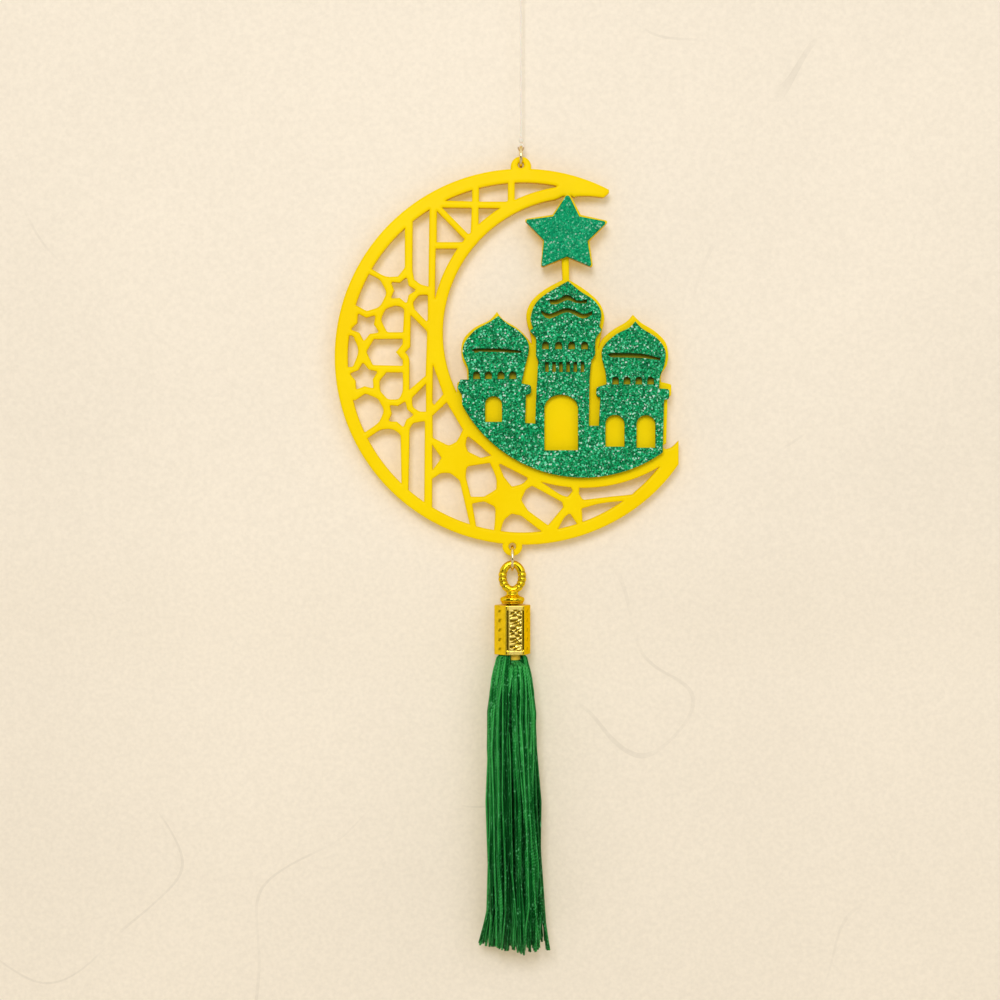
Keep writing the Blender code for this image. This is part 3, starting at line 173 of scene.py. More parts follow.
# Stage: the wall bends back below the crescent, and its glow warms it where the light is faint. The lamps
# aim at the ornament's middle, and the world is brighter where the camera or gloss sees it.
WALL_NEAR = 3.9 * MM
WALL_FAR = 7.0 * MM
WALL_BEND = -165 * MM
WALL_EASE = 42 * MM
WALL_GLOW = (1.0, 0.65, 0.05)
WALL_HEAD = 0.2
WALL_HALF_WIDTH = 0.5
WALL_ROWS = 145
FLOOR = -0.52
FLOOR_HALF = 4.0
CARDS = {"card_left": (-2.6, 0.15), "card_right": (0.85, 2.6)}
CARD_HEIGHTS = (-1.7, 0.9)
CARD_DEPTH = -1.5
LIT_MIDDLE = (-0.006, 0.0, -0.15)
WORLD_COLOUR = (0.95, 0.92, 0.87)
WORLD_LIGHT = 0.4
WORLD_SEEN = 1.0

# The star's backing is let out a little, so that its rim shows round the glued star
STAR_MIDDLE = np.array([12.76, -78.96]) * MM
STAR_RIM = 0.5 * MM
STAR_RIM_SHIFT = np.array([-0.15, 0.08]) * MM

# Painted shade on the plate under the sheet's small cut-outs, up to this area in square metres
SMALL_CUT_OUT = 20 * MM ** 2
CUT_OUT_SHADE_COLOUR = (0.14, 0.21, 0.02)
CUT_OUT_SHADE_REACH = (0.06 * MM, 0.24 * MM)

# Rounded front and back edges of the plate and the glued sheets: how far they reach in, and how far they
# fall, with the insets of their inner points as shares of the reach
PLATE_EDGES = ((0.75 * MM, 0.5 * MM), (0.3 * MM, 0.3 * MM))
SHEET_EDGES = ((0.25 * MM, 0.2 * MM), (0.15 * MM, 0.15 * MM))
FRONT_INSETS = (0.04, 0.14, 0.32, 0.58, 1.0, 1.25)
BACK_INSETS = (0.15, 0.5, 1.0, 1.6)
SHARP_CORNER = np.radians(34)
STRAIGHT = np.radians(1.0)
FAN_CORNER = 0.4
FAN_POINTS = 7
POINT_GRID = 0.09 * MM
SEARCH_SQUARE = 5 * MM

# Plating where it is sunk, and the painted highlight where its relief stands up
PATINA = (0.1, 0.05, 0.006)
RELIEF_HIGHLIGHT_GOLD = (1.0, 0.8, 0.24)


# Arithmetic

def unit_of(vectors):
    """Each vector divided by its length."""
    return vectors / np.linalg.norm(vectors, axis=-1, keepdims=True)


def smooth_step(t):
    """Smooth rise from 0 to 1 while t goes from 0 to 1: t squared times 3 - 2 t."""
    t = np.clip(t, 0, 1)
    return t * t * (3 - 2 * t)


def side_by_side(*parts):
    """The parts stretched to one shape and set side by side, such as x, y and z to points."""
    return np.stack(np.broadcast_arrays(*parts), -1)


# Materials

def add_node(tree, kind, inputs=None, **settings):
    """A node of that kind with its settings; inputs are values or the outputs that feed them."""
    node = tree.nodes.new("ShaderNode" + kind)
    for name, value in settings.items():
        setattr(node, name, value)
    for name, value in (inputs or {}).items():
        if isinstance(value, bpy.types.NodeSocket):
            tree.links.new(value, node.inputs[name])
        else:
            node.inputs[name].default_value = value
    return node


class Finish:
    """A Principled material with helpers to add the nodes that vary it."""

    def __init__(self, name, colour, roughness, metallic=0.0, others=None):
        self.material = bpy.data.materials.new(name)
        self.material.use_nodes = True
        self.tree = self.material.node_tree
        self.shader = self.tree.nodes["Principled BSDF"]
        values = {"Base Color": (*colour, 1.0), "Roughness": roughness, "Metallic": metallic}
        values.update(others or {})
        for socket, value in values.items():
            self.shader.inputs[socket].default_value = value

    def add(self, kind, inputs=None, **settings):
        """A node of the material."""
        return add_node(self.tree, kind, inputs, **settings)

    def place(self):
        """Object coordinates, in metres."""
        return self.add("TexCoord").outputs["Object"]

    def noise(self, place, scale, detail=2.0):
        """Smooth noise from 0 to 1 with about that many waves to a metre."""
        return self.add("TexNoise", {"Vector": place, "Scale": scale, "Detail": detail}).outputs["Fac"]

    def attribute(self, name):
        """The number that the piece's points carry under that name."""
        return self.add("Attribute", attribute_name=name).outputs["Fac"]

    def reckon(self, operation, *inputs):
        """Result of one Math node."""
        return self.add("Math", dict(enumerate(inputs)), operation=operation).outputs["Value"]

    def mix(self, share, first, second, blend="MIX"):
        """The first colour going over to the second, or blended with it, by the share."""
        if isinstance(second, tuple):
            second = (*second, 1.0)
        colours = {"Factor": share, 6: first, 7: second}
        return self.add("Mix", colours, data_type="RGBA", blend_type=blend).outputs[2]

    def ramp(self, share, stops):
        """Colour ramp; each stop is a place from 0 to 1 and a colour or a grey level."""
        node = self.add("ValToRGB", {"Fac": share})
        while len(node.color_ramp.elements) < len(stops):
            node.color_ramp.elements.new(0.5)
        for element, (place, colour) in zip(node.color_ramp.elements, stops):
            element.position = place
            element.color = (*(colour if isinstance(colour, tuple) else (colour,) * 3), 1.0)
        return node.outputs["Color"]

    def bump(self, height, distance, strength=1.0, normal=None):
        """Normal of a relief of that height times that distance, on top of the given normal."""
        inputs = {"Height": height, "Distance": distance, "Strength": strength}
        if normal is not None:
            inputs["Normal"] = normal
        return self.add("Bump", inputs).outputs["Normal"]

    def feed(self, socket, output):
        """Links the output to the shader's socket."""
        self.tree.links.new(output, self.shader.inputs[socket])

    def shade_edges(self, tone, deep):
        """Base colour that goes over to a deeper one on the piece's cut edges: painted shade."""
        self.feed("Base Color", self.mix(self.attribute("edge_shade"), tone, deep))


def yellow_plastic():
    """Smooth moulded plastic: a slow drift of colour, painted shade in the sheet's small cut-outs and on its
    cut edges, faint flow marks, a satin gloss.
    """
    finish = Finish("yellow_plastic", (0.97, 0.7, 0.004), 0.3, 0.0,
                    {"Specular IOR Level": 0.08, "Specular Tint": (1.0, 0.85, 0.3, 1.0)})
    place = finish.place()
    drift = finish.noise(place, 45.0, 3.0)
    unshaded_tone = finish.ramp(drift, [(0.3, (0.962, 0.672, 0.001)), (0.7, (0.982, 0.73, 0.003))])
    # Painted shade: dark olive in the sheet's small cut-outs, and deep orange on the cut edges
    finish.shade_edges(finish.mix(finish.attribute("cut_out_shade"), unshaded_tone, CUT_OUT_SHADE_COLOUR), (0.72, 0.33, 0.0))
    finish.feed("Roughness", finish.ramp(finish.noise(place, 400.0, 4.0), [(0.3, 0.24), (0.75, 0.36)]))
    slow = finish.bump(finish.noise(place, 110.0, 1.0), 0.09 * MM)
    finish.feed("Normal", finish.bump(finish.noise(place, 2600.0, 3.0), 0.006 * MM, 0.6, slow))
    return finish.material


def green_glitter(name, base, tint, evenness):
    """Flakes of 0.3 to 0.4 mm, each with its own tone and tilt, in a clear green binder, with painted shade
    on its cut edges.
    """
    finish = Finish(name, base, 0.34, 0.1, {"Specular IOR Level": 0.05})
    place = finish.place()
    flakes = finish.add("TexVoronoi", {"Vector": place, "Scale": 2500.0, "Randomness": 1.0})
    fine = finish.add("TexVoronoi", {"Vector": place, "Scale": 3900.0, "Randomness": 1.0})
    tones = finish.add("SeparateColor", {"Color": flakes.outputs["Color"]})
    fine_tones = finish.add("SeparateColor", {"Color": fine.outputs["Color"]})
    large = finish.ramp(tones.outputs["Red"], [
        (0.0, (0.001, 0.03, 0.01)), (0.3, (0.001, 0.11, 0.03)), (0.62, (0.003, 0.28, 0.085)),
        (0.84, (0.006, 0.56, 0.2)), (0.92, (0.16, 0.95, 0.55)), (1.0, (0.95, 1.0, 0.97))])
    small = finish.ramp(fine_tones.outputs["Green"], [
        (0.0, (0.001, 0.06, 0.018)), (0.55, (0.004, 0.23, 0.08)), (0.88, (0.02, 0.55, 0.25)),
        (1.0, (0.5, 0.95, 0.7))])
    tinted = finish.mix(evenness, finish.mix(0.3, large, small), tint)
    # Painted shade: the cut edges go over to a dark green
    finish.shade_edges(tinted, (0.006, 0.11, 0.03))
    finish.feed("Roughness", finish.ramp(tones.outputs["Blue"], [(0.0, 0.22), (1.0, 0.5)]))
    tilt = finish.add("VectorMath", {0: flakes.outputs["Color"], 1: (0.5, 0.5, 0.5)}, operation="SUBTRACT")
    lean = finish.add("VectorMath", {0: tilt.outputs["Vector"], "Scale": 0.75}, operation="SCALE")
    facing = finish.add("NewGeometry").outputs["Normal"]
    summed = finish.add("VectorMath", {0: facing, 1: lean.outputs["Vector"]}, operation="ADD")
    unit = finish.add("VectorMath", {0: summed.outputs["Vector"]}, operation="NORMALIZE")
    finish.feed("Normal", finish.bump(flakes.outputs["Distance"], 0.05 * MM, 0.5, unit.outputs["Vector"]))
    return finish.material


def gold(name, colour, roughness, grain, metallic=1.0):
    """Gold plating: warm metal, slightly uneven, brown where its relief is sunk, and pale where marked: a
    painted highlight on the raised relief.
    """
    finish = Finish(name, colour, roughness, metallic, {"Specular Tint": (1.0, 0.75, 0.2, 1.0)})
    place = finish.place()
    patches = finish.noise(place, 700.0, 3.0)
    plating = finish.ramp(patches, [(0.3, scaled(colour, 0.82)), (0.65, colour)])
    # Painted highlight: pale gold where the relief stands up
    bright = finish.mix(finish.attribute("relief_highlight"), plating, RELIEF_HIGHLIGHT_GOLD)
    finish.feed("Base Color", finish.mix(finish.attribute("sunk"), bright, PATINA))
    finish.feed("Roughness", finish.ramp(patches, [(0.3, roughness * 1.5), (0.7, roughness * 0.75)]))
    finish.feed("Normal", finish.bump(finish.noise(place, 900.0, 2.0), grain))
    return finish.material


def scaled(colour, share):
    """The colour times the share, and no channel over 1."""
    return tuple(min(1.0, share * c) for c in colour)


def give_attribute(piece, name, values):
    """One number at each of the piece's points."""
    attribute = piece.data.attributes.new(name, "FLOAT", "POINT")
    attribute.data.foreach_set("value", np.asarray(values, np.float32).ravel())


def green_yarn():
    """Silky twisted yarn: the strand's own tone with its painted light, fine slanted plies with painted shade
    in their grooves, painted glints, and a soft sheen.
    """
    finish = Finish("green_yarn", (0.01, 0.16, 0.045), 0.4, 0.0,
                    {"Specular IOR Level": 0.5, "Specular Tint": (0.02, 0.8, 0.1, 1.0)})
    place = finish.place()
    stretched = finish.add("Mapping", {"Vector": place, "Scale": (1.0, 1.0, 0.25)}).outputs["Vector"]
    drift = finish.noise(stretched, 900.0, 2.0)
    along = finish.add("UVMap", uv_map="yarn").outputs["UV"]
    plies = finish.add("TexWave", {"Vector": along, "Scale": 1.0, "Distortion": 0.8, "Detail": 1.0},
                       bands_direction="DIAGONAL").outputs["Fac"]
    # Painted shade in the plies' grooves, and painted light on their crests
    ply_shade = finish.reckon("MULTIPLY_ADD", plies, 0.4, -0.2)
    share = finish.reckon("ADD", finish.attribute("strand_tone_and_light"), drift)
    half = finish.reckon("MULTIPLY_ADD", share, 0.5, ply_shade)
    dyed = finish.ramp(half, [
        (0.2, (0.001, 0.018, 0.003)), (0.42, (0.004, 0.095, 0.015)), (0.6, (0.012, 0.22, 0.036)),
        (0.8, (0.07, 0.5, 0.11))])
    # Painted glints: pale specks on the yarn
    painted_glints = finish.ramp(finish.noise(place, 1700.0, 1.0), [(0.62, 0.0), (0.7, 0.7)])
    finish.feed("Base Color", finish.mix(painted_glints, dyed, (0.16, 0.62, 0.25)))
    finish.feed("Normal", finish.bump(plies, 0.1 * MM, 0.8))
    finish.feed("Roughness", finish.ramp(drift, [(0.3, 0.28), (0.7, 0.45)]))
    return finish.material


def clear_thread(name, colour, foot_shade_colour):
    """Thin twisted thread, pale above and turning to its foot's colour below the eye's middle, a painted
    shade where that colour is darker.
    """
    finish = Finish(name, colour, 0.35, 0.0, {"Subsurface Weight": 0.2, "Subsurface Scale": 0.3 * MM})
    place = finish.place()
    fibres = finish.noise(place, 5200.0, 3.0)
    strands = finish.ramp(fibres, [(0.3, scaled(colour, 0.88)), (0.7, scaled(colour, 1.06))])
    height = finish.add("SeparateXYZ", {"Vector": place}).outputs["Z"]
    low = finish.add("MapRange", {"Value": height, "From Min": EYE_MIDDLE + 0.3 * MM, "From Max": EYE_MIDDLE})
    finish.feed("Base Color", finish.mix(low.outputs["Result"], strands, foot_shade_colour))
    finish.feed("Normal", finish.bump(fibres, 0.03 * MM, 0.6))
    return finish.material


# Surfaces

def grid_faces(rows, columns, close_rows=False, close_columns=False):
    """Quads over a rows by columns grid of points, joined up at its ends where it closes."""
    last_row = rows if close_rows else rows - 1
    last_column = columns if close_columns else columns - 1
    r, c = np.meshgrid(np.arange(last_row), np.arange(last_column), indexing="ij")
    r_next = (r + 1) % rows
    c_next = (c + 1) % columns
    quads = [r * columns + c, r_next * columns + c, r_next * columns + c_next, r * columns + c_next]
    return np.stack(quads, -1).reshape(-1, 4)


def linked(name, data):
    """New object of the mesh, lamp or camera, in the scene."""
    made = bpy.data.objects.new(name, data)
    bpy.context.collection.objects.link(made)
    return made


def smooth_mesh(name, points, faces, material):
    """Object at the origin with a smooth mesh of the points and faces."""
    mesh = bpy.data.meshes.new(name)
    mesh.from_pydata(np.asarray(points, float).reshape(-1, 3).tolist(), [], faces)
    mesh.validate()
    mesh.shade_smooth()
    mesh.materials.append(material)
    return linked(name, mesh)


def make_piece(name, points, face_lists, material, body, replaced=(), outward=True):
    """Mesh piece from its points and faces, riding on its body in place of its nodes."""
    faces = [face for faces in face_lists for face in np.asarray(faces).tolist()]
    if not outward:
        faces = [face[::-1] for face in faces]
    piece = smooth_mesh(name, points, faces, material)
    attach(piece, body)
    if replaced:
        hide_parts(*replaced)
    return piece


def carried(path, reference, radius, sides, closed=False, shape=None):
    """Points of a round section carried along a path, one row for each point of the path.

    The section's plane is square to the path; its first axis is square to the reference direction.
    shape(row, angle) scales the radius.
    """
    if closed:
        ahead = np.roll(path, -1, 0) - np.roll(path, 1, 0)
    else:
        ahead = np.gradient(path, axis=0)
    ahead = unit_of(ahead)
    side = unit_of(np.cross(ahead, reference))
    other = np.cross(ahead, side)
    angle = TURN * np.arange(sides) / sides
    rows = np.arange(len(path))[:, None]
    reach = radius * (shape(rows, angle[None, :]) if shape else np.ones((len(path), sides)))
    return (path[:, None, :] + reach[..., None] * (np.cos(angle)[None, :, None] * side[:, None, :]
                                                   + np.sin(angle)[None, :, None] * other[:, None, :]))


def end_fans(rows, columns, first_pole, last_pole):
    """Triangles from the first and the last ring of a grid to their poles."""
    c = np.arange(columns)
    n = (c + 1) % columns
    last = (rows - 1) * columns
    return [np.stack([c, n, np.full(columns, first_pole)], -1),
            np.stack([last + n, last + c, np.full(columns, last_pole)], -1)]


def turned(profile, base, sides):
    """Grid of a turned solid on the cap's axis: its (radius, height) profile carried round, from the base."""
    angle = TURN * np.arange(sides) / sides
    radius = profile[:, :1]
    return side_by_side(CAP_X + radius * np.cos(angle), radius * np.sin(angle), base + profile[:, 1:])


def rounded_profile(corners, radius, steps=4):
    """(radius, height) profile whose corners are eased with arcs of a few points each."""
    corners = np.array(corners)
    before = np.roll(corners, 1, 0) - corners
    after = np.roll(corners, -1, 0) - corners
    shorter = np.minimum(np.linalg.norm(before, axis=1), np.linalg.norm(after, axis=1))
    reach = np.minimum(radius, 0.45 * shorter)[:, None]
    start = corners + reach * unit_of(before)
    end = corners + reach * unit_of(after)
    t = np.linspace(0, 1, steps)[None, :, None]
    eased = (1 - t) ** 2 * start[:, None] + 2 * t * (1 - t) * corners[:, None] + t ** 2 * end[:, None]
    eased[0] = corners[0]
    eased[-1] = corners[-1]
    return eased.reshape(-1, 2)


# Flat pieces with rounded edges

def front_rings(node):
    """Closed outlines (x, z) of a node's flat front face, the solid on the left of each."""
    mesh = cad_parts[node].data
    places = np.empty(3 * len(mesh.vertices))
    mesh.vertices.foreach_get("co", places)
    corners = np.empty(len(mesh.loops), int)
    mesh.loops.foreach_get("vertex_index", corners)
    places, same = np.unique(np.round(places.reshape(-1, 3), 7), axis=0, return_inverse=True)
    triangles = same.ravel()[corners].reshape(-1, 3)
    flat = np.abs(places[triangles][:, :, 1] - places[:, 1].min()).max(1) < 0.001 * MM
    triangles = triangles[flat]
    onward = set(map(tuple, np.concatenate([triangles[:, [k, (k + 1) % 3]] for k in range(3)]).tolist()))
    follows = {a: b for a, b in onward if (b, a) not in onward}
    rings = []
    while follows:
        start, here = follows.popitem()
        ring = [start]
        while here != start:
            ring.append(here)
            here = follows.pop(here)
        rings.append(places[ring][:, [0, 2]])
    areas = [area(ring) for ring in rings]
    return [rings[k] for k in np.argsort(areas)[::-1]]


def area(ring):
    """Area inside a closed outline, negative where it runs clockwise."""
    ahead = np.roll(ring, -1, 0)
    return 0.5 * np.sum(ring[:, 0] * ahead[:, 1] - ahead[:, 0] * ring[:, 1])


def eased_ring(ring, longest):
    """The outline with its short chords bent into arcs, and its corners and long straights kept.

    Each chord becomes a cubic between tangents that lean to the longer neighbour.
    """
    chord = np.roll(ring, -1, 0) - ring
    length = np.linalg.norm(chord, axis=1, keepdims=True)
    unit = chord / length
    before = np.roll(unit, 1, 0)
    turning = np.arctan2(before[:, 0] * unit[:, 1] - before[:, 1] * unit[:, 0], np.sum(before * unit, 1))
    tangent = unit * length ** 2 + before * np.roll(length, 1, 0) ** 2
    tangent = unit_of(tangent)
    corner = (np.abs(turning) > SHARP_CORNER)[:, None]
    leaving = np.where(corner, unit, tangent)
    arriving = np.where(np.roll(corner, -1, 0), unit, np.roll(tangent, -1, 0))
    bent = np.sum(leaving * arriving, 1) < np.cos(STRAIGHT)
    pieces = np.maximum(np.ceil(length[:, 0] / longest).astype(int), np.where(bent, 3, 1))
    at = np.repeat(np.arange(len(ring)), pieces)
    t = ((np.arange(len(at)) - np.repeat(np.cumsum(pieces) - pieces, pieces)) / pieces[at])[:, None]
    start = ring[at]
    end = np.roll(ring, -1, 0)[at]
    return ((2 * t ** 3 - 3 * t ** 2 + 1) * start + (t ** 3 - 2 * t ** 2 + t) * length[at] * leaving[at]
            + (3 * t ** 2 - 2 * t ** 3) * end + (t ** 3 - t ** 2) * length[at] * arriving[at])


def distance_to(points, starts, ends, limit):
    """Distance from each point to the nearest chord from starts to ends, and no more than the limit.

    The points are taken square by square, each with the chords that come near it.
    """
    along = ends - starts
    square = np.sum(along ** 2, 1)
    low = np.minimum(starts, ends) - limit
    high = np.maximum(starts, ends) + limit
    cells = np.floor(points / SEARCH_SQUARE).astype(int)
    _, cell = np.unique(cells, axis=0, return_inverse=True)
    order = np.argsort(cell.ravel(), kind="stable")
    nearest = np.full(len(points), float(limit))
    for block in np.split(order, np.flatnonzero(np.diff(cell.ravel()[order])) + 1):
        here = points[block]
        near = np.all((low < here.max(0)) & (high > here.min(0)), 1)
        if near.any():
            from_start = here[:, None, :] - starts[None, near]
            share = np.clip(np.einsum("psk,sk->ps", from_start, along[near]) / square[near], 0, 1)
            gap = np.sqrt(np.min(np.sum((from_start - share[..., None] * along[near]) ** 2, -1), 1))
            nearest[block] = np.minimum(gap, limit)
    return nearest


def inner_points(rings, insets):
    """Points at the given distances inside the outlines, where no other outline is nearer.

    Each corner and each middle of a side gives one at every distance, and a sharp inner corner gives a fan.
    """
    starts = np.concatenate(rings)
    ends = np.concatenate([np.roll(ring, -1, 0) for ring in rings])
    befores = np.concatenate([np.roll(ring, 1, 0) for ring in rings])
    unit = unit_of(ends - starts)
    unit_before = unit_of(starts - befores)
    inward = np.stack([-unit[:, 1], unit[:, 0]], -1)
    inward_before = np.stack([-unit_before[:, 1], unit_before[:, 0]], -1)
    middle = inward + inward_before
    middle /= np.maximum(0.35, np.sum(middle * inward, 1))[:, None]
    turn = np.arctan2(unit_before[:, 0] * unit[:, 1] - unit_before[:, 1] * unit[:, 0],
                      np.sum(unit_before * unit, 1))
    sharp = turn < -FAN_CORNER
    bearing = np.arctan2(inward_before[sharp, 1], inward_before[sharp, 0])[:, None]
    bearing = bearing + turn[sharp, None] * np.linspace(0, 1, FAN_POINTS)
    fan = np.stack([np.cos(bearing), np.sin(bearing)], -1)
    kept = []
    for inset in insets:
        tries = np.concatenate([starts + inset * middle, (starts + ends) / 2 + inset * inward,
                                (starts[sharp, None] + inset * fan).reshape(-1, 2)])
        kept.append(tries[distance_to(tries, starts, ends, 1.1 * inset) > 0.97 * inset])
    kept = np.concatenate(kept)
    _, first = np.unique(np.round(kept / POINT_GRID), axis=0, return_index=True)
    return kept[np.sort(first)]


def rounded_face(rings, insets, edge, level, towards, marks=np.zeros((0, 2))):
    """Face of a flat piece: level in its middle, falling away in a quarter ellipse at its outlines.

    At a share d of the edge's reach from the outline, the surface lies below the level by
    the edge's fall times 1 - sqrt(d (2 - d)). Marks are more points inside, the last of the face.
    """
    reach, fall = edge
    outline = np.concatenate(rings)
    points = np.concatenate([outline, inner_points(rings, insets), marks])
    ends = np.concatenate([np.roll(ring, -1, 0) for ring in rings])
    depth = distance_to(points, outline, ends, reach) / reach
    depth[:len(outline)] = 0
    starts = np.cumsum([0] + [len(ring) for ring in rings])
    loops = [list(range(a, b)) for a, b in zip(starts[:-1], starts[1:])]
    loops = [loops[0]] + [loop[::-1] for loop in loops[1:]]
    plan = [Vector(p) for p in points]
    corners, _, triangles, _, _, inside = delaunay_2d_cdt(plan, [], loops, 0, 1e-9, True)
    if len(corners) != len(points):
        raise ValueError("the outlines of a flat piece cross each other")
    triangles = np.array([t for t, owners in zip(triangles, inside) if owners == [0]])
    drop = fall * (1 - np.sqrt(depth * (2 - depth)))
    return np.stack([points[:, 0], level + towards * drop, points[:, 1]], -1), triangles


def star_rim(ring):
    """The plate's outline, moved away from the star's middle where it runs beside the star sheet."""
    sheet = front_rings("star_sheet")[0]
    away = distance_to(ring, sheet, np.roll(sheet, -1, 0), 1.2 * MM)
    beside = smooth_step((0.65 * MM - away) / (0.12 * MM))[:, None]
    return ring + beside * (STAR_RIM * unit_of(ring - STAR_MIDDLE) + STAR_RIM_SHIFT)


def shaded_cut_out_marks():
    """Points of the plate round the sheet's small cut-outs, and their painted shade: more towards each one's
    top, where the sheet's top edge casts its shadow.
    """
    points = []
    shade_share = []
    for ring in front_rings("mosque_sheet")[1:]:
        if -area(ring) < SMALL_CUT_OUT:
            fine = eased_ring(ring, 0.8 * MM)
            onward = unit_of(np.roll(fine, -1, 0) - np.roll(fine, 1, 0))
            away = np.stack([-onward[:, 1], onward[:, 0]], -1)
            above = (fine[:, 1] - fine[:, 1].min()) / np.ptp(fine[:, 1])
            points += [fine + reach * away for reach in CUT_OUT_SHADE_REACH]
            shade_share += [0.45 + 0.5 * above, np.zeros(len(fine))]
    return np.concatenate(points), np.concatenate(shade_share)


def flat_piece(name, node, edges, longest, material, body, fitted=None, marks=None):
    """Flat piece with the node's outline and rounded edges: two faces and straight walls.

    The marks are more points on its front face, and the painted shade on each.
    """
    low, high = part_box(node)
    rings = [eased_ring(fitted(ring) if fitted else ring, longest) for ring in front_rings(node)]
    front_edge, back_edge = edges
    front_steps = [k * front_edge[0] for k in FRONT_INSETS]
    back_steps = [k * back_edge[0] for k in BACK_INSETS]
    spots, shade_there = marks or (np.zeros((0, 2)), np.zeros(0))
    front, front_faces = rounded_face(rings, front_steps, front_edge, low.y, 1, spots)
    back, back_faces = rounded_face(rings, back_steps, back_edge, high.y, -1)
    walls = []
    start = 0
    for ring in rings:
        here = start + np.arange(len(ring))
        onward = start + (np.arange(len(ring)) + 1) % len(ring)
        walls.append(np.stack([here, here + len(front), onward + len(front), onward], -1))
        start += len(ring)
    faces = [front_faces, (back_faces + len(front))[:, ::-1]] + walls
    piece = make_piece(name, np.concatenate([front, back]), faces, material, body, (node,))
    # Painted shade on the cut edges: half at the front outline, full at the back one
    shade = np.zeros(len(front) + len(back))
    shade[:start] = 0.5
    shade[len(front):len(front) + start] = 1.0
    give_attribute(piece, "edge_shade", shade)
    shade_share = np.zeros(len(front) + len(back))
    shade_share[len(front) - len(spots):len(front)] = shade_there
    give_attribute(piece, "cut_out_shade", shade_share)


# Thread, knots and rings

def twisted(turns_per_point, lobes=2, depth=0.16):
    """Section of plied thread: its lobes turn steadily along the path."""
    return lambda row, angle: 1 - depth + depth * np.cos(lobes * (angle - turns_per_point * TURN * row))


def thread_ring(name, path, material, turns_per_point, node):
    """Closed ring of the plied thread: its section carried round the path."""
    points = carried(path, (0, 1, 0), THREAD / 2, THREAD_SIDES, True, twisted(turns_per_point))
    faces = grid_faces(len(path), THREAD_SIDES, True, True)
    make_piece(name, points, [faces], material, "thread", (node,), False)


def open_wire(name, path, reference, radius, sides, material, body, shape=None, node=None):
    """Wire or thread: a round section carried along the path, each end drawn to a point just past it."""
    points = carried(path, reference, radius, sides, False, shape).reshape(-1, 3)
    ends = np.array([path[0] + 0.4 * radius * unit_of(path[0] - path[1]),
                     path[-1] + 0.4 * radius * unit_of(path[-1] - path[-2])])
    faces = [grid_faces(len(path), sides, False, True)]
    faces += end_fans(len(path), sides, len(points), len(points) + 1)
    return make_piece(name, np.concatenate([points, ends]), faces, material, body,
                      (node,) if node else (), False)


def cord_route():
    """Points of the taut thread from the ring up, as in the frame: one sine wave of sway along a line."""
    share = np.linspace(0, 1, CORD_POINTS)
    return side_by_side(CORD_SWAY * np.sin(TURN * share), 0.0, CORD_BOTTOM + CORD_LENGTH * share)


def make_thread(white, shaded_eye):
    """Hanging loop, a drop narrower below; eye, an ellipse; knots, a wrap of turns on a core; taut thread."""
    angle = TURN * np.arange(LOOP_POINTS) / LOOP_POINTS
    width = LOOP_HALF_WIDTH * (0.45 + 0.55 * (0.5 + 0.5 * np.sin(angle)))
    loop = side_by_side(width * np.cos(angle), 0.0, LOOP_MIDDLE + LOOP_HALF_HEIGHT * np.sin(angle))
    thread_ring("thread_loop", loop, white, 1 / 12, "hanging_loop")

    eye = side_by_side(EYE_HALF_WIDTH * np.cos(angle), 0.0, EYE_MIDDLE + EYE_RADIUS * np.sin(angle))
    thread_ring("thread_eye", eye, shaded_eye, 1 / 40, "ring_eye")

    turn = np.linspace(0, KNOT_TURNS * TURN, 36 * KNOT_TURNS + 1)
    reach = KNOT_RADIUS - THREAD / 2
    swell = reach * (0.72 + 0.28 * np.sin(np.pi * turn / turn[-1]) ** 0.6)
    for node, top in KNOT_TOPS.items():
        wrap = side_by_side(swell * np.cos(turn), swell * np.sin(turn),
                            top - THREAD / 2 - (KNOT_HEIGHT - THREAD) * turn / turn[-1])
        open_wire(node + "_wrap", wrap, (0, 0, 1), THREAD / 2, 10, white, "thread",
                  twisted(1 / 14, 2, 0.1), node)
        shaft = side_by_side(0.0, 0.0, top - KNOT_HEIGHT * np.linspace(0.02, 0.98, 12))
        open_wire(node + "_core", shaft, (1, 0, 0), 0.55 * reach, 10, white, "thread")

    route = cord_route()
    coarse = np.linspace(0, 1, CORD_POINTS)
    fine = np.linspace(0, 1, LINE_POINTS)
    path = side_by_side(*(np.interp(fine, coarse, axis) for axis in route.T))
    thread = open_wire("thread_line", path, (0, 1, 0), THREAD / 2, THREAD_SIDES, white, "thread",
                       twisted(1 / 14, 2, 0.12), "hanging_cord")


def make_rings(metal):
    """Jump rings: a wire round a circle in the plane square to +X, open at its slit."""
    for node, (x, z, outer, wire, slit) in RINGS.items():
        mean = (outer - wire) / 2
        angle = slit + RING_SLIT / 2 + (TURN - RING_SLIT) * np.linspace(0, 1, RING_POINTS)
        path = side_by_side(x, mean * np.cos(angle), z + mean * np.sin(angle))
        open_wire(node + "_wire", path, (1, 0, 0), wire / 2, 16, metal, RING_BODIES[node],
                  None, node)


# Tassel cap

def make_eyelet():
    """Points of the ribbed loop, a wire round an ellipse with beads on its sides, and how sunk each row is.

    The beads are the rounded humps of a cosine's size along the ellipse.
    """
    angle = TURN * np.arange(EYELET_POINTS) / EYELET_POINTS
    path = side_by_side(CAP_X + EYELET_HALF_WIDTH * np.sin(angle), 0.0,
                        EYELET_TOP - EYELET_HALF_HEIGHT + EYELET_HALF_HEIGHT * np.cos(angle))
    lower = 0.5 - 0.5 * np.cos(angle)
    ribbed = smooth_step((lower - 0.25) / 0.1) * smooth_step((0.92 - lower) / 0.05)
    beads = np.abs(np.cos(EYELET_WAVES * angle)) ** 0.8
    swell = 1.02 + 0.12 * np.sin(angle) ** 2 + 0.06 * lower + ribbed * (0.2 * beads - 0.16)
    points = carried(path, (0, 1, 0), EYELET_WIRE / 2, 28, True, lambda row, turn: swell[row] + 0 * turn)
    return points, ribbed * (1 - beads) ** 1.5


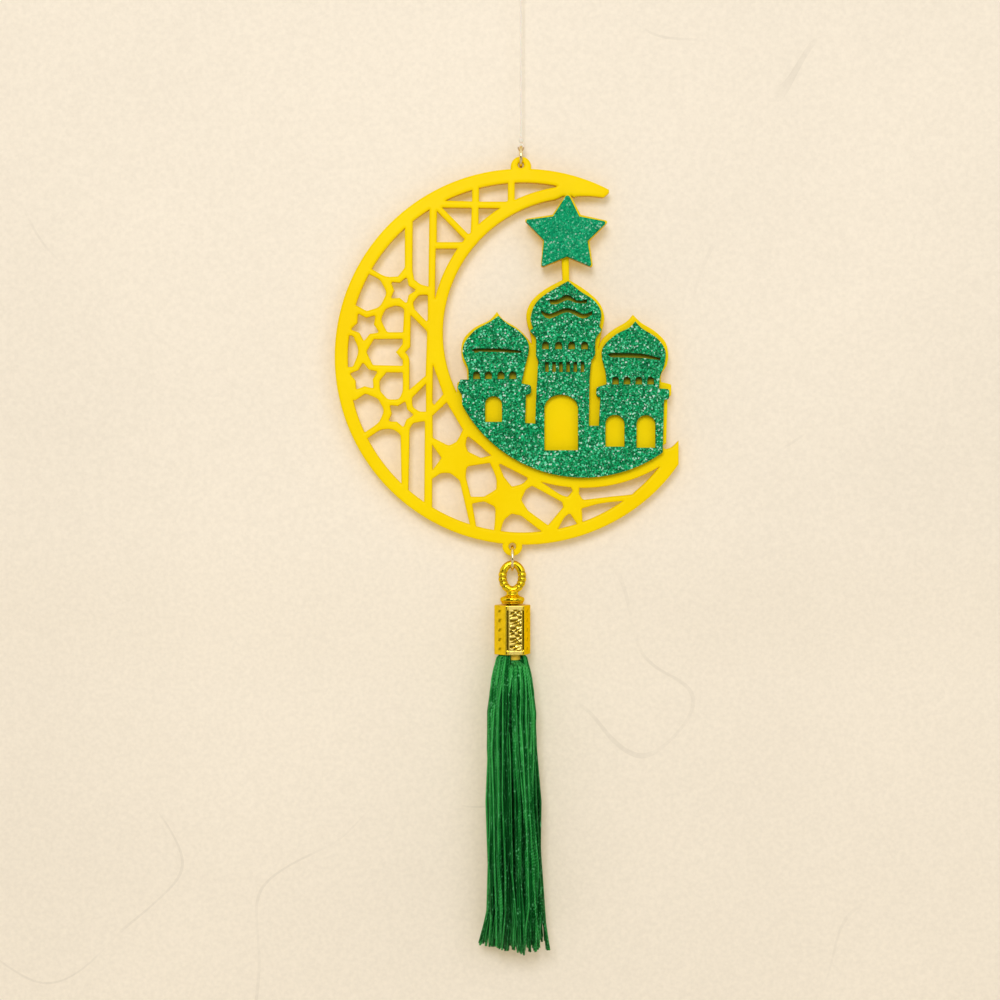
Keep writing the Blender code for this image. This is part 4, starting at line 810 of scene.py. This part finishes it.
def make_finial(metal):
    """Eyelet, and under it the neck, collar, step and spigot as one turned profile."""
    loop, sunk = make_eyelet()
    foot = -COLLAR_HEIGHT - STEP_HEIGHT
    end = SPIGOT_END - COLLAR_TOP
    corners = [(0.62 * NECK_RADIUS, NECK_HEIGHT), (NECK_RADIUS, 0.8 * NECK_HEIGHT),
               (0.88 * NECK_RADIUS, 0.35 * NECK_HEIGHT), (1.3 * NECK_RADIUS, 0.08 * NECK_HEIGHT),
               (0.86 * COLLAR_RADIUS, 0.0), (COLLAR_RADIUS, -0.24 * COLLAR_HEIGHT),
               (COLLAR_RADIUS, -0.72 * COLLAR_HEIGHT), (0.9 * COLLAR_RADIUS, -COLLAR_HEIGHT),
               (STEP_RADIUS, -COLLAR_HEIGHT), (STEP_RADIUS, foot), (SPIGOT_RADIUS, foot),
               (SPIGOT_RADIUS, end + 0.2 * SPIGOT_RADIUS), (0.8 * SPIGOT_RADIUS, end)]
    loop_faces = grid_faces(*loop.shape[:2], True, True)
    eyelet = make_piece("cap_eyelet", loop, [loop_faces], metal, "tassel", ("cap_finial",),
                        False)
    give_attribute(eyelet, "sunk", np.repeat(0.8 * sunk, loop.shape[1]))
    turned_piece("cap_collar", rounded_profile(corners, 0.22 * MM), COLLAR_TOP, 96,
                 (COLLAR_TOP + NECK_HEIGHT, SPIGOT_END), metal)


def turned_piece(name, profile, base, sides, poles, metal, replaced=()):
    """Turned solid of the cap, closed on its axis at the heights of its two poles."""
    body = turned(profile, base, sides)
    rows = len(profile)
    points = np.concatenate([body.reshape(-1, 3), [(CAP_X, 0.0, pole) for pole in poles]])
    faces = [grid_faces(rows, sides, False, True)] + end_fans(rows, sides, rows * sides, rows * sides + 1)
    make_piece(name, points, faces, metal, "tassel", replaced)


def relief(across, up, carved):
    """Depth of the barrel's relief, from 0 to 1, over its faces.

    across runs from -1 to 1 over a face, up from 0 to 1 over the barrel. A carved face has a groove
    near each side, and between them a panel of scrollwork: the cosines of two waves that slant against
    each other, both bent by the same slow wobble. A plain face has one column of small slanted strokes.
    """
    ends = smooth_step((up - 0.06) / 0.03) * smooth_step((0.94 - up) / 0.03)
    groove = np.exp(-((np.abs(across) - 0.84) / 0.07) ** 2) * ends
    panel = smooth_step((0.64 - np.abs(across - 0.04)) / 0.1) * ends
    wobble = np.sin(TURN * 2.3 * up + 2 * across) + 0.7 * np.sin(TURN * 5.3 * up - 3 * across)
    leaves = np.cos(TURN * (7.5 * up + 0.75 * across) + 1.1 * wobble)
    stems = np.cos(TURN * (11 * up - 1.1 * across) - 1.4 * wobble)
    sunk = panel * smooth_step(0.5 + 0.45 * leaves + 0.45 * stems)
    row = (5 * up) % 1 - 0.5
    patch = smooth_step((0.24 - np.abs(row)) / 0.08)
    patch = patch * smooth_step((0.34 - np.abs(across - 0.05 - 0.3 * row)) / 0.1)
    strokes = 0.5 * ends * patch * (0.5 + 0.5 * np.cos(TURN * (1.6 * across - 1.1 * row)))
    return np.where(carved, np.maximum(0.75 * groove, sunk), strokes)


def make_barrel(metal):
    """Hexagonal shell: the outer wall with its relief, the foot, the bore and the top's hole.

    Its rows are hexagons with rounded corners, one under another: out over the top, down the outside,
    and up the bore to the round hole again. The relief is taken off the outer wall's reach.
    """
    across = np.linspace(-1, 1, FACE_COLUMNS + 1)[:-1]
    up = np.linspace(0, 1, RELIEF_ROWS)
    half_face = np.pi / 6
    apothem = BARREL_RADIUS * np.cos(half_face)
    side = BARREL_RADIUS * np.sin(half_face)
    columns = 6 * FACE_COLUMNS
    share = np.tile(across, 6)
    facing = np.repeat(-np.pi / 2 + BARREL_TURN + np.pi / 3 * np.arange(6), FACE_COLUMNS)
    carved = np.repeat(np.arange(6) % 2 == 0, FACE_COLUMNS)
    rounding = CORNER_DROP * np.clip((np.abs(share) - 0.86) / 0.14, 0, 1) ** 2
    outward = np.stack([np.cos(facing), np.sin(facing)], -1)
    sideways = np.stack([-np.sin(facing), np.cos(facing)], -1)

    def ring(reach, height, drop=0.0):
        """One hexagon, its faces that far from the axis, less the rounding and the drop."""
        plan = (reach - rounding - drop)[:, None] * outward
        plan = plan + (share * side * reach / apothem)[:, None] * sideways
        return np.concatenate([plan + (CAP_X, 0.0), np.full((columns, 1), height)], 1)

    edge = BARREL_EDGE
    bore = apothem - BARREL_WALL
    rows = [ring(reach, height) for reach, height in (
        (0.34 * bore, BARREL_TOP), (apothem - 2 * edge, BARREL_TOP), (apothem - edge, BARREL_TOP),
        (apothem - 0.3 * edge, BARREL_TOP - 0.3 * edge))]
    rows[0][:, :2] = circle_like(rows[0][:, :2], SPIGOT_HOLE)
    first = len(rows)
    carving = np.array([relief(share, level, carved) for level in up[::-1]])
    heights = BARREL_BOTTOM + edge + (BARREL_TOP - BARREL_BOTTOM - 2 * edge) * up[::-1]
    rows += [ring(apothem, height, RELIEF_DEPTH * cut) for height, cut in zip(heights, carving)]
    rows += [ring(reach, height) for reach, height in (
        (apothem - 0.3 * edge, BARREL_BOTTOM + 0.3 * edge), (apothem - edge, BARREL_BOTTOM),
        (bore + edge, BARREL_BOTTOM), (bore, BARREL_BOTTOM + edge), (bore, BARREL_TOP - BARREL_TOP_WALL))]
    rows.append(rows[0] - np.array([0.0, 0.0, BARREL_TOP_WALL]))
    points = np.stack(rows)
    faces = grid_faces(len(rows), columns, True, True)
    shell = make_piece("cap_shell", points, [faces], metal, "tassel", ("cap_barrel",))
    sunk = np.zeros((len(rows), columns))
    sunk[first:first + len(up)] = carving
    # Painted highlight on the raised parts of the carved faces, stronger on their panels
    relief_highlight = np.zeros((len(rows), columns))
    panel = np.where(np.abs(share - 0.04) < 0.7, 0.85, 0.25)
    relief_highlight[first:first + len(up)] = carved * panel * (1 - carving) ** 2
    give_attribute(shell, "sunk", 0.85 * smooth_step(sunk / 0.9))
    give_attribute(shell, "relief_highlight", relief_highlight)


def circle_like(plan, radius):
    """The plan's points moved onto a circle about the cap's axis."""
    return (CAP_X, 0.0) + radius * unit_of(plan - (CAP_X, 0.0))


def make_plug(metal):
    """Core with its socket for the spigot, one turned profile."""
    corners = [(SPIGOT_HOLE, SOCKET_FOOT), (SPIGOT_HOLE, PLUG_TOP), (PLUG_RADIUS, PLUG_TOP),
               (PLUG_RADIUS, PLUG_BOTTOM), (0.3 * PLUG_RADIUS, PLUG_BOTTOM)]
    turned_piece("cap_plug", rounded_profile(corners, 0.35 * MM, 5), 0.0, 64,
                 (SOCKET_FOOT, PLUG_BOTTOM), metal, ("core_plug",))


# Tassel yarn

def make_yarn_head(yarn):
    """Glued head inside the barrel: two arcs open at the front, carried down and waisted for the binding."""
    rows = HEAD_POINTS
    angle = -np.pi / 2 + YARN_PARTING / 2 + (TURN - YARN_PARTING) * np.linspace(0, 1, rows)
    waist = YARN_OUTER - 0.45 * MM
    levels = [(YARN_TOP, waist), (YARN_TOP - 0.5 * MM, YARN_OUTER), (WAIST_TOP + WAIST_SLOPE, YARN_OUTER),
              (WAIST_TOP, waist), (WAIST_FOOT, waist), (WAIST_FOOT - WAIST_SLOPE, YARN_OUTER),
              (YARN_FOOT + 0.1 * MM, YARN_OUTER)]
    turn = np.concatenate([angle, angle[::-1]])
    sections = []
    for height, outer in levels:
        reach = np.repeat([YARN_INNER, outer], rows)
        sections.append(side_by_side(CAP_X + reach * np.cos(turn), reach * np.sin(turn), height))
    points = np.stack(sections)
    last = (len(levels) - 1) * 2 * rows
    k = np.arange(rows - 1)
    top = np.stack([k, k + 1, 2 * rows - 2 - k, 2 * rows - 1 - k], -1)
    faces = [grid_faces(len(levels), 2 * rows, False, True), top, last + top[:, ::-1]]
    head = make_piece("yarn_head", points, faces, yarn, "tassel", ("tassel_yarn",), False)
    give_yarn_maps(head, np.full(points.size // 3, 0.3), points.reshape(-1, 3)[:, [0, 2]] / MM)


def give_yarn_maps(piece, tone, along):
    """The strand's tone, with its painted light, at each point, and the yarn's own map: round it and along
    it.
    """
    mesh = piece.data
    give_attribute(piece, "strand_tone_and_light", tone)
    corners = np.empty(len(mesh.loops), int)
    mesh.loops.foreach_get("vertex_index", corners)
    layer = mesh.uv_layers.new(name="yarn")
    layer.data.foreach_set("uv", np.asarray(along, np.float32)[corners].ravel())


def wandering(chance, count, share, knots):
    """Smooth random drift for each strand: random levels at even knots joined by cosine slopes, from 0."""
    levels = chance.normal(size=(count, knots))
    levels[:, 0] = 0
    at = share * (knots - 1 - 1e-6)
    cell = at.astype(int)
    slope = 0.5 - 0.5 * np.cos(np.pi * (at - cell))
    return levels[:, cell] * (1 - slope) + levels[:, cell + 1] * slope


def make_strands(name, yarn, seed, count, depth_range, loose, span, under_plug=False):
    """Loose strands from the head's foot, or from under the plug, to their ragged tips.

    Each strand keeps its share of the skirt's radius and its place in the span, the angle from the front
    where the strands begin and the angle they take up. It leans towards the middle of its tuft and of its
    lock, then of its tail, and bends out near its tip. All strands are one array: strand, level, side.
    """
    chance = np.random.default_rng(seed)
    share = STRAND_LEVELS
    steps = len(share)
    sides = STRAND_SIDES
    number = np.arange(count)
    inner, outer = depth_range
    depth = np.sqrt(chance.uniform(inner ** 2, outer ** 2, count))
    place = chance.permutation((number + chance.uniform(-0.3, 0.3, count)) / count)
    around = (span[0] + span[1] * place) / TURN % 1

    # The lock and the tuft that each strand belongs to
    lock = np.floor(around * STRAND_LOCKS + 0.3 * np.sin(TURN * 3 * depth)).astype(int) % STRAND_LOCKS
    lock_middle = (np.arange(STRAND_LOCKS) + 0.5 + chance.uniform(-0.25, 0.25, STRAND_LOCKS)) / STRAND_LOCKS
    lock_tone = chance.uniform(-0.1, 0.1, STRAND_LOCKS)
    lock_lean = chance.normal(size=(STRAND_LOCKS, 2))
    lock_turn = LOCK_TURN * wandering(chance, STRAND_LOCKS, share, 6)
    lock_reach = LOCK_REACH * wandering(chance, STRAND_LOCKS, share, 5)
    tuft = np.floor(around * STRAND_TUFTS).astype(int) % STRAND_TUFTS
    tuft_middle = (np.arange(STRAND_TUFTS) + 0.5) / STRAND_TUFTS

    # Where each strand begins, in or under the head, and where it ends
    in_parting = np.abs((around + 0.5) % 1 - 0.5) * TURN < YARN_PARTING / 2
    if under_plug:
        start = PLUG_BOTTOM - 0.05 * MM
    else:
        start = YARN_FOOT + np.where(in_parting, 4.0, 0.45)[:, None] * MM
    tuft_foot = TUFT_RAGGED * chance.random(STRAND_TUFTS) ** 1.4
    tail = np.floor(around * STRAND_TAILS).astype(int)
    tail_foot = TAIL_RAGGED * chance.random(STRAND_TAILS)
    foot = LOWEST_TIP + tuft_foot[tuft] + tail_foot[tail] + TIP_RAGGED * chance.random(count) ** 1.7
    foot += CORE_SHORTER * (1 - depth)
    height = start + (foot[:, None] - start) * share[None]
    below = YARN_FOOT + 0.3 * MM - height

    # From its root each strand eases out to its share of the skirt's radius, clear of the plug
    profile = np.interp(-height, -SKIRT_PROFILE[:, 0], SKIRT_PROFILE[:, 1])
    wide = profile * (0.1 + 0.9 * depth[:, None])
    if under_plug:
        root = 0.9 * PLUG_RADIUS * (depth / outer)[:, None]
        reach = root + (wide - root) * smooth_step((start - height) / (2.0 * MM))
    else:
        root = YARN_INNER + 0.12 * MM + (YARN_OUTER - YARN_INNER - 0.24 * MM) * depth[:, None]
        reach = root + (wide - root) * smooth_step(below / (0.9 * MM))
        past_plug = smooth_step((PLUG_BOTTOM - height) / (2.2 * MM))
        reach = np.maximum(reach, (PLUG_RADIUS + 0.6 * STRAND_RADIUS) * (1 - past_plug))

    # Below the cap it leans to the middles of its lock and its tuft
    angle = np.tile(-np.pi / 2 + TURN * around[:, None], (1, steps))
    gather = smooth_step((below - 1.5 * MM) / (14 * MM))
    to_lock = (lock_middle[lock] - around + 0.5) % 1 - 0.5
    to_tuft = (tuft_middle[tuft] - around + 0.5) % 1 - 0.5
    lean = TURN * (LOCK_PULL * to_lock + TUFT_PULL * to_tuft)[:, None]
    angle = angle + lean * gather + lock_turn[lock] * gather
    reach = reach * (1 + lock_reach[lock] * gather)

    # Towards their tips the strands draw together into a few tails
    tip = np.clip((foot[:, None] + TAIL_REACH - height) / TAIL_REACH, 0, 1) ** 1.7
    to_tail = (tail + 0.5) / STRAND_TAILS - around
    angle = angle + TURN * TAIL_PULL * to_tail[:, None] * tip

    x = reach * np.cos(angle) + np.interp(-height, -SKIRT_MIDDLE[:, 0], SKIRT_MIDDLE[:, 1])
    y = reach * np.sin(angle)
    slack = smooth_step((below - 1 * MM) / (10 * MM))
    x += STRAY * wandering(chance, count, share, 9) * slack
    y += STRAY * wandering(chance, count, share, 9) * slack

    # Tips bend out, a few of those at the sides far
    beside = np.abs(np.cos(TURN * (tuft_middle - 0.25))) > 0.95
    far = beside & (chance.random(STRAND_TUFTS) < loose)
    tuft_bend = np.where(far, chance.uniform(1.4, 3.3, STRAND_TUFTS), 0.0)
    bend = (0.4 * chance.random(count) + tuft_bend[tuft] * (depth > 0.8))[:, None] * MM * tip * depth[:, None]
    x += bend * (np.cos(angle) - 0.25) + 0.6 * MM * lock_lean[lock][:, :1] * tip
    y += bend * np.sin(angle) + 0.3 * MM * lock_lean[lock][:, 1:] * tip
    x += 0.4 * MM * chance.normal(size=(count, 1)) * tip
    y += 0.3 * MM * chance.normal(size=(count, 1)) * tip

    # The back of the skirt is eased in before its limit
    soft = 1 * MM
    y = np.where(y > BACK_LIMIT - soft, BACK_LIMIT - soft * np.exp((BACK_LIMIT - y) / soft - 1), y)

    # A square section is carried along each strand, thin at the root
    line = np.stack([CAP_X + x, y, height], -1)
    ahead = unit_of(np.gradient(line, axis=1))
    outward = side_by_side(np.cos(angle), np.sin(angle), 0.0)
    side = unit_of(np.cross(ahead, outward))
    other = np.cross(side, ahead)
    thick = STRAND_RADIUS * chance.uniform(0.85, 1.1, count)[:, None]
    thick = thick * (0.55 + 0.45 * smooth_step(below / (5 * MM))) * (1 - 0.1 * (share > 0.999))
    turn = (TURN * np.arange(sides) / sides)[:, None]
    round_it = np.cos(turn) * side[:, :, None] + np.sin(turn) * other[:, :, None]
    points = line[:, :, None] + thick[..., None, None] * round_it

    each = steps * sides
    body = grid_faces(steps, sides, False, True)[None] + (number * each)[:, None, None]
    ends = np.arange(sides)[::-1]
    caps = np.stack([ends[::-1], each - sides + ends])[None] + (number * each)[:, None, None]
    faces = [body.reshape(-1, 4), caps.reshape(-1, sides)]
    strands = make_piece(name, points, faces, yarn, "tassel", ("tassel_yarn",))

    # Each strand has its own tone, darker down its length. On top of it is painted light: painted shade on
    # the strands deeper inside the skirt, a painted highlight on one ridge with painted shade on its other
    # sides, and painted light that makes its tip pale again
    tone = 0.57 + lock_tone[lock] + chance.uniform(-0.5, 0.5, count) - 0.6 * (1 - depth)
    tone_with_painted_light = tone[:, None] + 0.27 - 0.62 * share[None] + 0.55 * tip
    # Painted highlight on one side of each strand, painted shade on the other three
    ridge = np.array([-0.34, 0.12, -0.34, -0.34])
    along = side_by_side(2 * np.arange(sides) / sides,
                         (-height / MM * 0.75 + chance.random((count, 1)))[..., None])
    give_yarn_maps(strands, tone_with_painted_light[..., None] + ridge, along.reshape(-1, 2))


def make_binding(yarn):
    """Binding thread wound round the yarn's head: one unbroken tube along a helix."""
    turn = np.linspace(0, BINDING_TURNS * TURN, BINDING_POINTS)
    path = side_by_side(CAP_X + BINDING_RADIUS * np.cos(turn), BINDING_RADIUS * np.sin(turn),
                        BINDING_TOP - BINDING_PITCH * turn / TURN)
    binding = open_wire("binding_thread", path, (0, 0, 1), BINDING_THREAD / 2, 10, yarn, "tassel",
                        twisted(1 / 9, 2, 0.08), "head_binding")
    count = len(binding.data.vertices)
    give_yarn_maps(binding, np.full(count, 0.4), np.zeros((count, 2)))


# Stage

def plaster(name, colour, glow):
    """Pale wall: fine trowelled relief and hairline scratches; seen from behind it lets the view through."""
    finish = Finish(name, colour, 0.85, 0.0, {"Specular IOR Level": 0.2, "Emission Strength": glow})
    place = finish.place()
    tone = finish.ramp(finish.noise(place, 9.0, 4.0), [(0.35, scaled(colour, 0.955)), (0.65, colour)])
    speckle = finish.ramp(finish.noise(place, 900.0, 4.0), [(0.3, 0.965), (0.7, 1.035)])
    mottled = finish.mix(1.0, tone, speckle, "MULTIPLY")
    ridge = finish.reckon("COMPARE", finish.noise(place, 9.0, 1.5), 0.5, 0.0018)
    mask = finish.ramp(finish.noise(place, 22.0, 3.0), [(0.52, 0.0), (0.62, 0.28)])
    scratches = finish.reckon("MULTIPLY", ridge, mask)
    worn = finish.mix(scratches, mottled, scaled(colour, 0.7))
    finish.feed("Base Color", worn)
    finish.feed("Emission Color", finish.mix(1.0, worn, WALL_GLOW, "MULTIPLY"))
    low = finish.bump(finish.noise(place, 45.0, 5.0), 0.8 * MM, 0.4)
    scratched = finish.bump(scratches, 0.1 * MM, 0.6, low)
    finish.feed("Normal", finish.bump(finish.noise(place, 600.0, 4.0), 0.3 * MM, 0.4, scratched))
    tree = finish.tree
    clear = finish.add("BsdfTransparent").outputs["BSDF"]
    behind = finish.add("NewGeometry").outputs["Backfacing"]
    mixed = finish.add("MixShader", {0: behind, 1: finish.shader.outputs["BSDF"], 2: clear})
    tree.links.new(mixed.outputs["Shader"], tree.nodes["Material Output"].inputs["Surface"])
    return finish.material


def make_stage():
    """Wall close behind the crescent, easing back below it to clear the tassel, a floor, and two dark cards.

    The cards stand in front, beside the camera, and only the gloss of the metal shows them.
    """
    up = np.linspace(FLOOR, WALL_HEAD, WALL_ROWS)
    ease = smooth_step((WALL_BEND - up) / WALL_EASE)
    wall_points = side_by_side(np.array([-WALL_HALF_WIDTH, WALL_HALF_WIDTH]),
                               (WALL_NEAR + (WALL_FAR - WALL_NEAR) * ease)[:, None], up[:, None])
    wall_faces = grid_faces(len(up), 2)[:, ::-1].tolist()
    floor_points = [(-FLOOR_HALF, -FLOOR_HALF, FLOOR), (FLOOR_HALF, -FLOOR_HALF, FLOOR),
                    (FLOOR_HALF, FLOOR_HALF, FLOOR), (-FLOOR_HALF, FLOOR_HALF, FLOOR)]
    quad = [(0, 1, 2, 3)]
    wall_plaster = plaster("wall_plaster", (0.73, 0.713, 0.7), 0.28)
    floor_plaster = plaster("floor_plaster", (0.82, 0.79, 0.74), 0.0)
    smooth_mesh("wall", wall_points, wall_faces, wall_plaster)
    smooth_mesh("floor", floor_points, quad, floor_plaster)
    dark = Finish("dark_card", (0.05, 0.035, 0.02), 0.9)
    cloudy = dark.noise(dark.place(), 3.0)
    dark.feed("Base Color", dark.ramp(cloudy, [(0.3, (0.03, 0.02, 0.01)), (0.7, (0.07, 0.05, 0.03))]))
    low, high = CARD_HEIGHTS
    for name, (left, right) in CARDS.items():
        corners = [(left, CARD_DEPTH, low), (right, CARD_DEPTH, low), (right, CARD_DEPTH, high),
                   (left, CARD_DEPTH, high)]
        card = smooth_mesh(name, corners, quad, dark.material)
        for ray in ("camera", "diffuse", "shadow", "transmission"):
            setattr(card, "visible_" + ray, False)


def lamp(name, place, size, power, colour=(1.0, 1.0, 1.0)):
    """Square area lamp at a place, turned to the middle of the ornament."""
    light = bpy.data.lights.new(name, "AREA")
    light.shape = "SQUARE"
    light.size = size
    light.energy = power
    light.color = colour
    hung = linked(name, light)
    hung.location = place
    hung.rotation_mode = "QUATERNION"
    hung.rotation_quaternion = (Vector(LIT_MIDDLE) - Vector(place)).to_track_quat("-Z", "Y")


def make_light():
    """Soft key from above left, a weak fill, and an even pale world, brighter to the camera and in gloss."""
    lamp("key", (-0.13, -1.08, 0.27), size=0.42, power=6.3, colour=(1.0, 0.985, 0.96))
    lamp("fill", (0.75, -1.2, 0.3), size=0.9, power=3.3)
    world = bpy.data.worlds.new("pale_world")
    bpy.context.scene.world = world
    world.use_nodes = True
    tree = world.node_tree
    back = tree.nodes["Background"]
    back.inputs["Color"].default_value = (*WORLD_COLOUR, 1.0)
    rays = add_node(tree, "LightPath").outputs
    seen = add_node(tree, "Math", {0: rays["Is Camera Ray"], 1: rays["Is Glossy Ray"]}, operation="MAXIMUM")
    strength = add_node(tree, "MapRange", {"Value": seen.outputs["Value"], "To Min": WORLD_LIGHT,
                                           "To Max": WORLD_SEEN})
    tree.links.new(strength.outputs["Result"], back.inputs["Strength"])


def make_camera():
    """Straight-on view with the crescent at the photograph's place."""
    camera = bpy.data.cameras.new("camera")
    camera.sensor_width = SENSOR_WIDTH
    camera.lens = SENSOR_WIDTH * CAMERA_DISTANCE / (2 * PICTURE_MIDDLE * PIXEL)
    stand = linked("camera", camera)
    stand.location = (CRESCENT_CENTRE[0] + (PICTURE_MIDDLE - CRESCENT_PIXEL[0]) * PIXEL, -CAMERA_DISTANCE,
                      CRESCENT_CENTRE[2] - (PICTURE_MIDDLE - CRESCENT_PIXEL[1]) * PIXEL)
    stand.rotation_euler = (np.pi / 2, 0.0, 0.0)
    bpy.context.scene.camera = stand


make_camera()
# The eye's thread turns tan below its middle: painted shade
make_thread(clear_thread("white_thread", THREAD_WHITE, THREAD_WHITE),
            clear_thread("shaded_eye_thread", THREAD_WHITE, (0.6, 0.4, 0.17)))
make_rings(gold("ring_gold", (0.9, 0.74, 0.4), 0.16, 0.004 * MM))
flat_piece("pierced_crescent", "crescent_plate", PLATE_EDGES, 1.2 * MM, yellow_plastic(), "crescent",
           star_rim, shaded_cut_out_marks())
flat_piece("glitter_mosque", "mosque_sheet", SHEET_EDGES, 1.0 * MM,
           green_glitter("mosque_glitter", (0.01, 0.24, 0.08), (0.002, 0.27, 0.08), 0.08),
           "crescent")
flat_piece("glitter_star", "star_sheet", SHEET_EDGES, 1.0 * MM,
           green_glitter("star_glitter", (0.008, 0.28, 0.13), (0.001, 0.34, 0.155), 0.55),
           "crescent")
plating = gold("cap_plating", (0.92, 0.655, 0.018), 0.15, 0.012 * MM)
make_finial(plating)
make_barrel(plating)
make_plug(gold("plug_gold", (1.0, 0.66, 0.06), 0.35, 0.02 * MM, 0.0))
silky = green_yarn()
make_yarn_head(silky)
beside_plug = (PARTING_MIDDLE + PARTING_FOOT / 2, TURN - PARTING_FOOT)
before_plug = (PARTING_MIDDLE - PARTING_FOOT / 2, PARTING_FOOT)
all_round = (0.0, TURN)
make_strands("strands_outer", silky, 11, 230, (0.72, 1.0), 0.6, beside_plug)
make_strands("strands_inner", silky, 12, 120, (0.4, 0.72), 0.0, beside_plug)
make_strands("strands_front", silky, 14, 72, (0.6, 1.0), 0.0, before_plug, True)
make_strands("strands_core", silky, 13, 80, (0.05, 0.6), 0.0, all_round, True)
make_binding(silky)
make_stage()
make_light()
bpy.context.scene.view_settings.view_transform = "Standard"
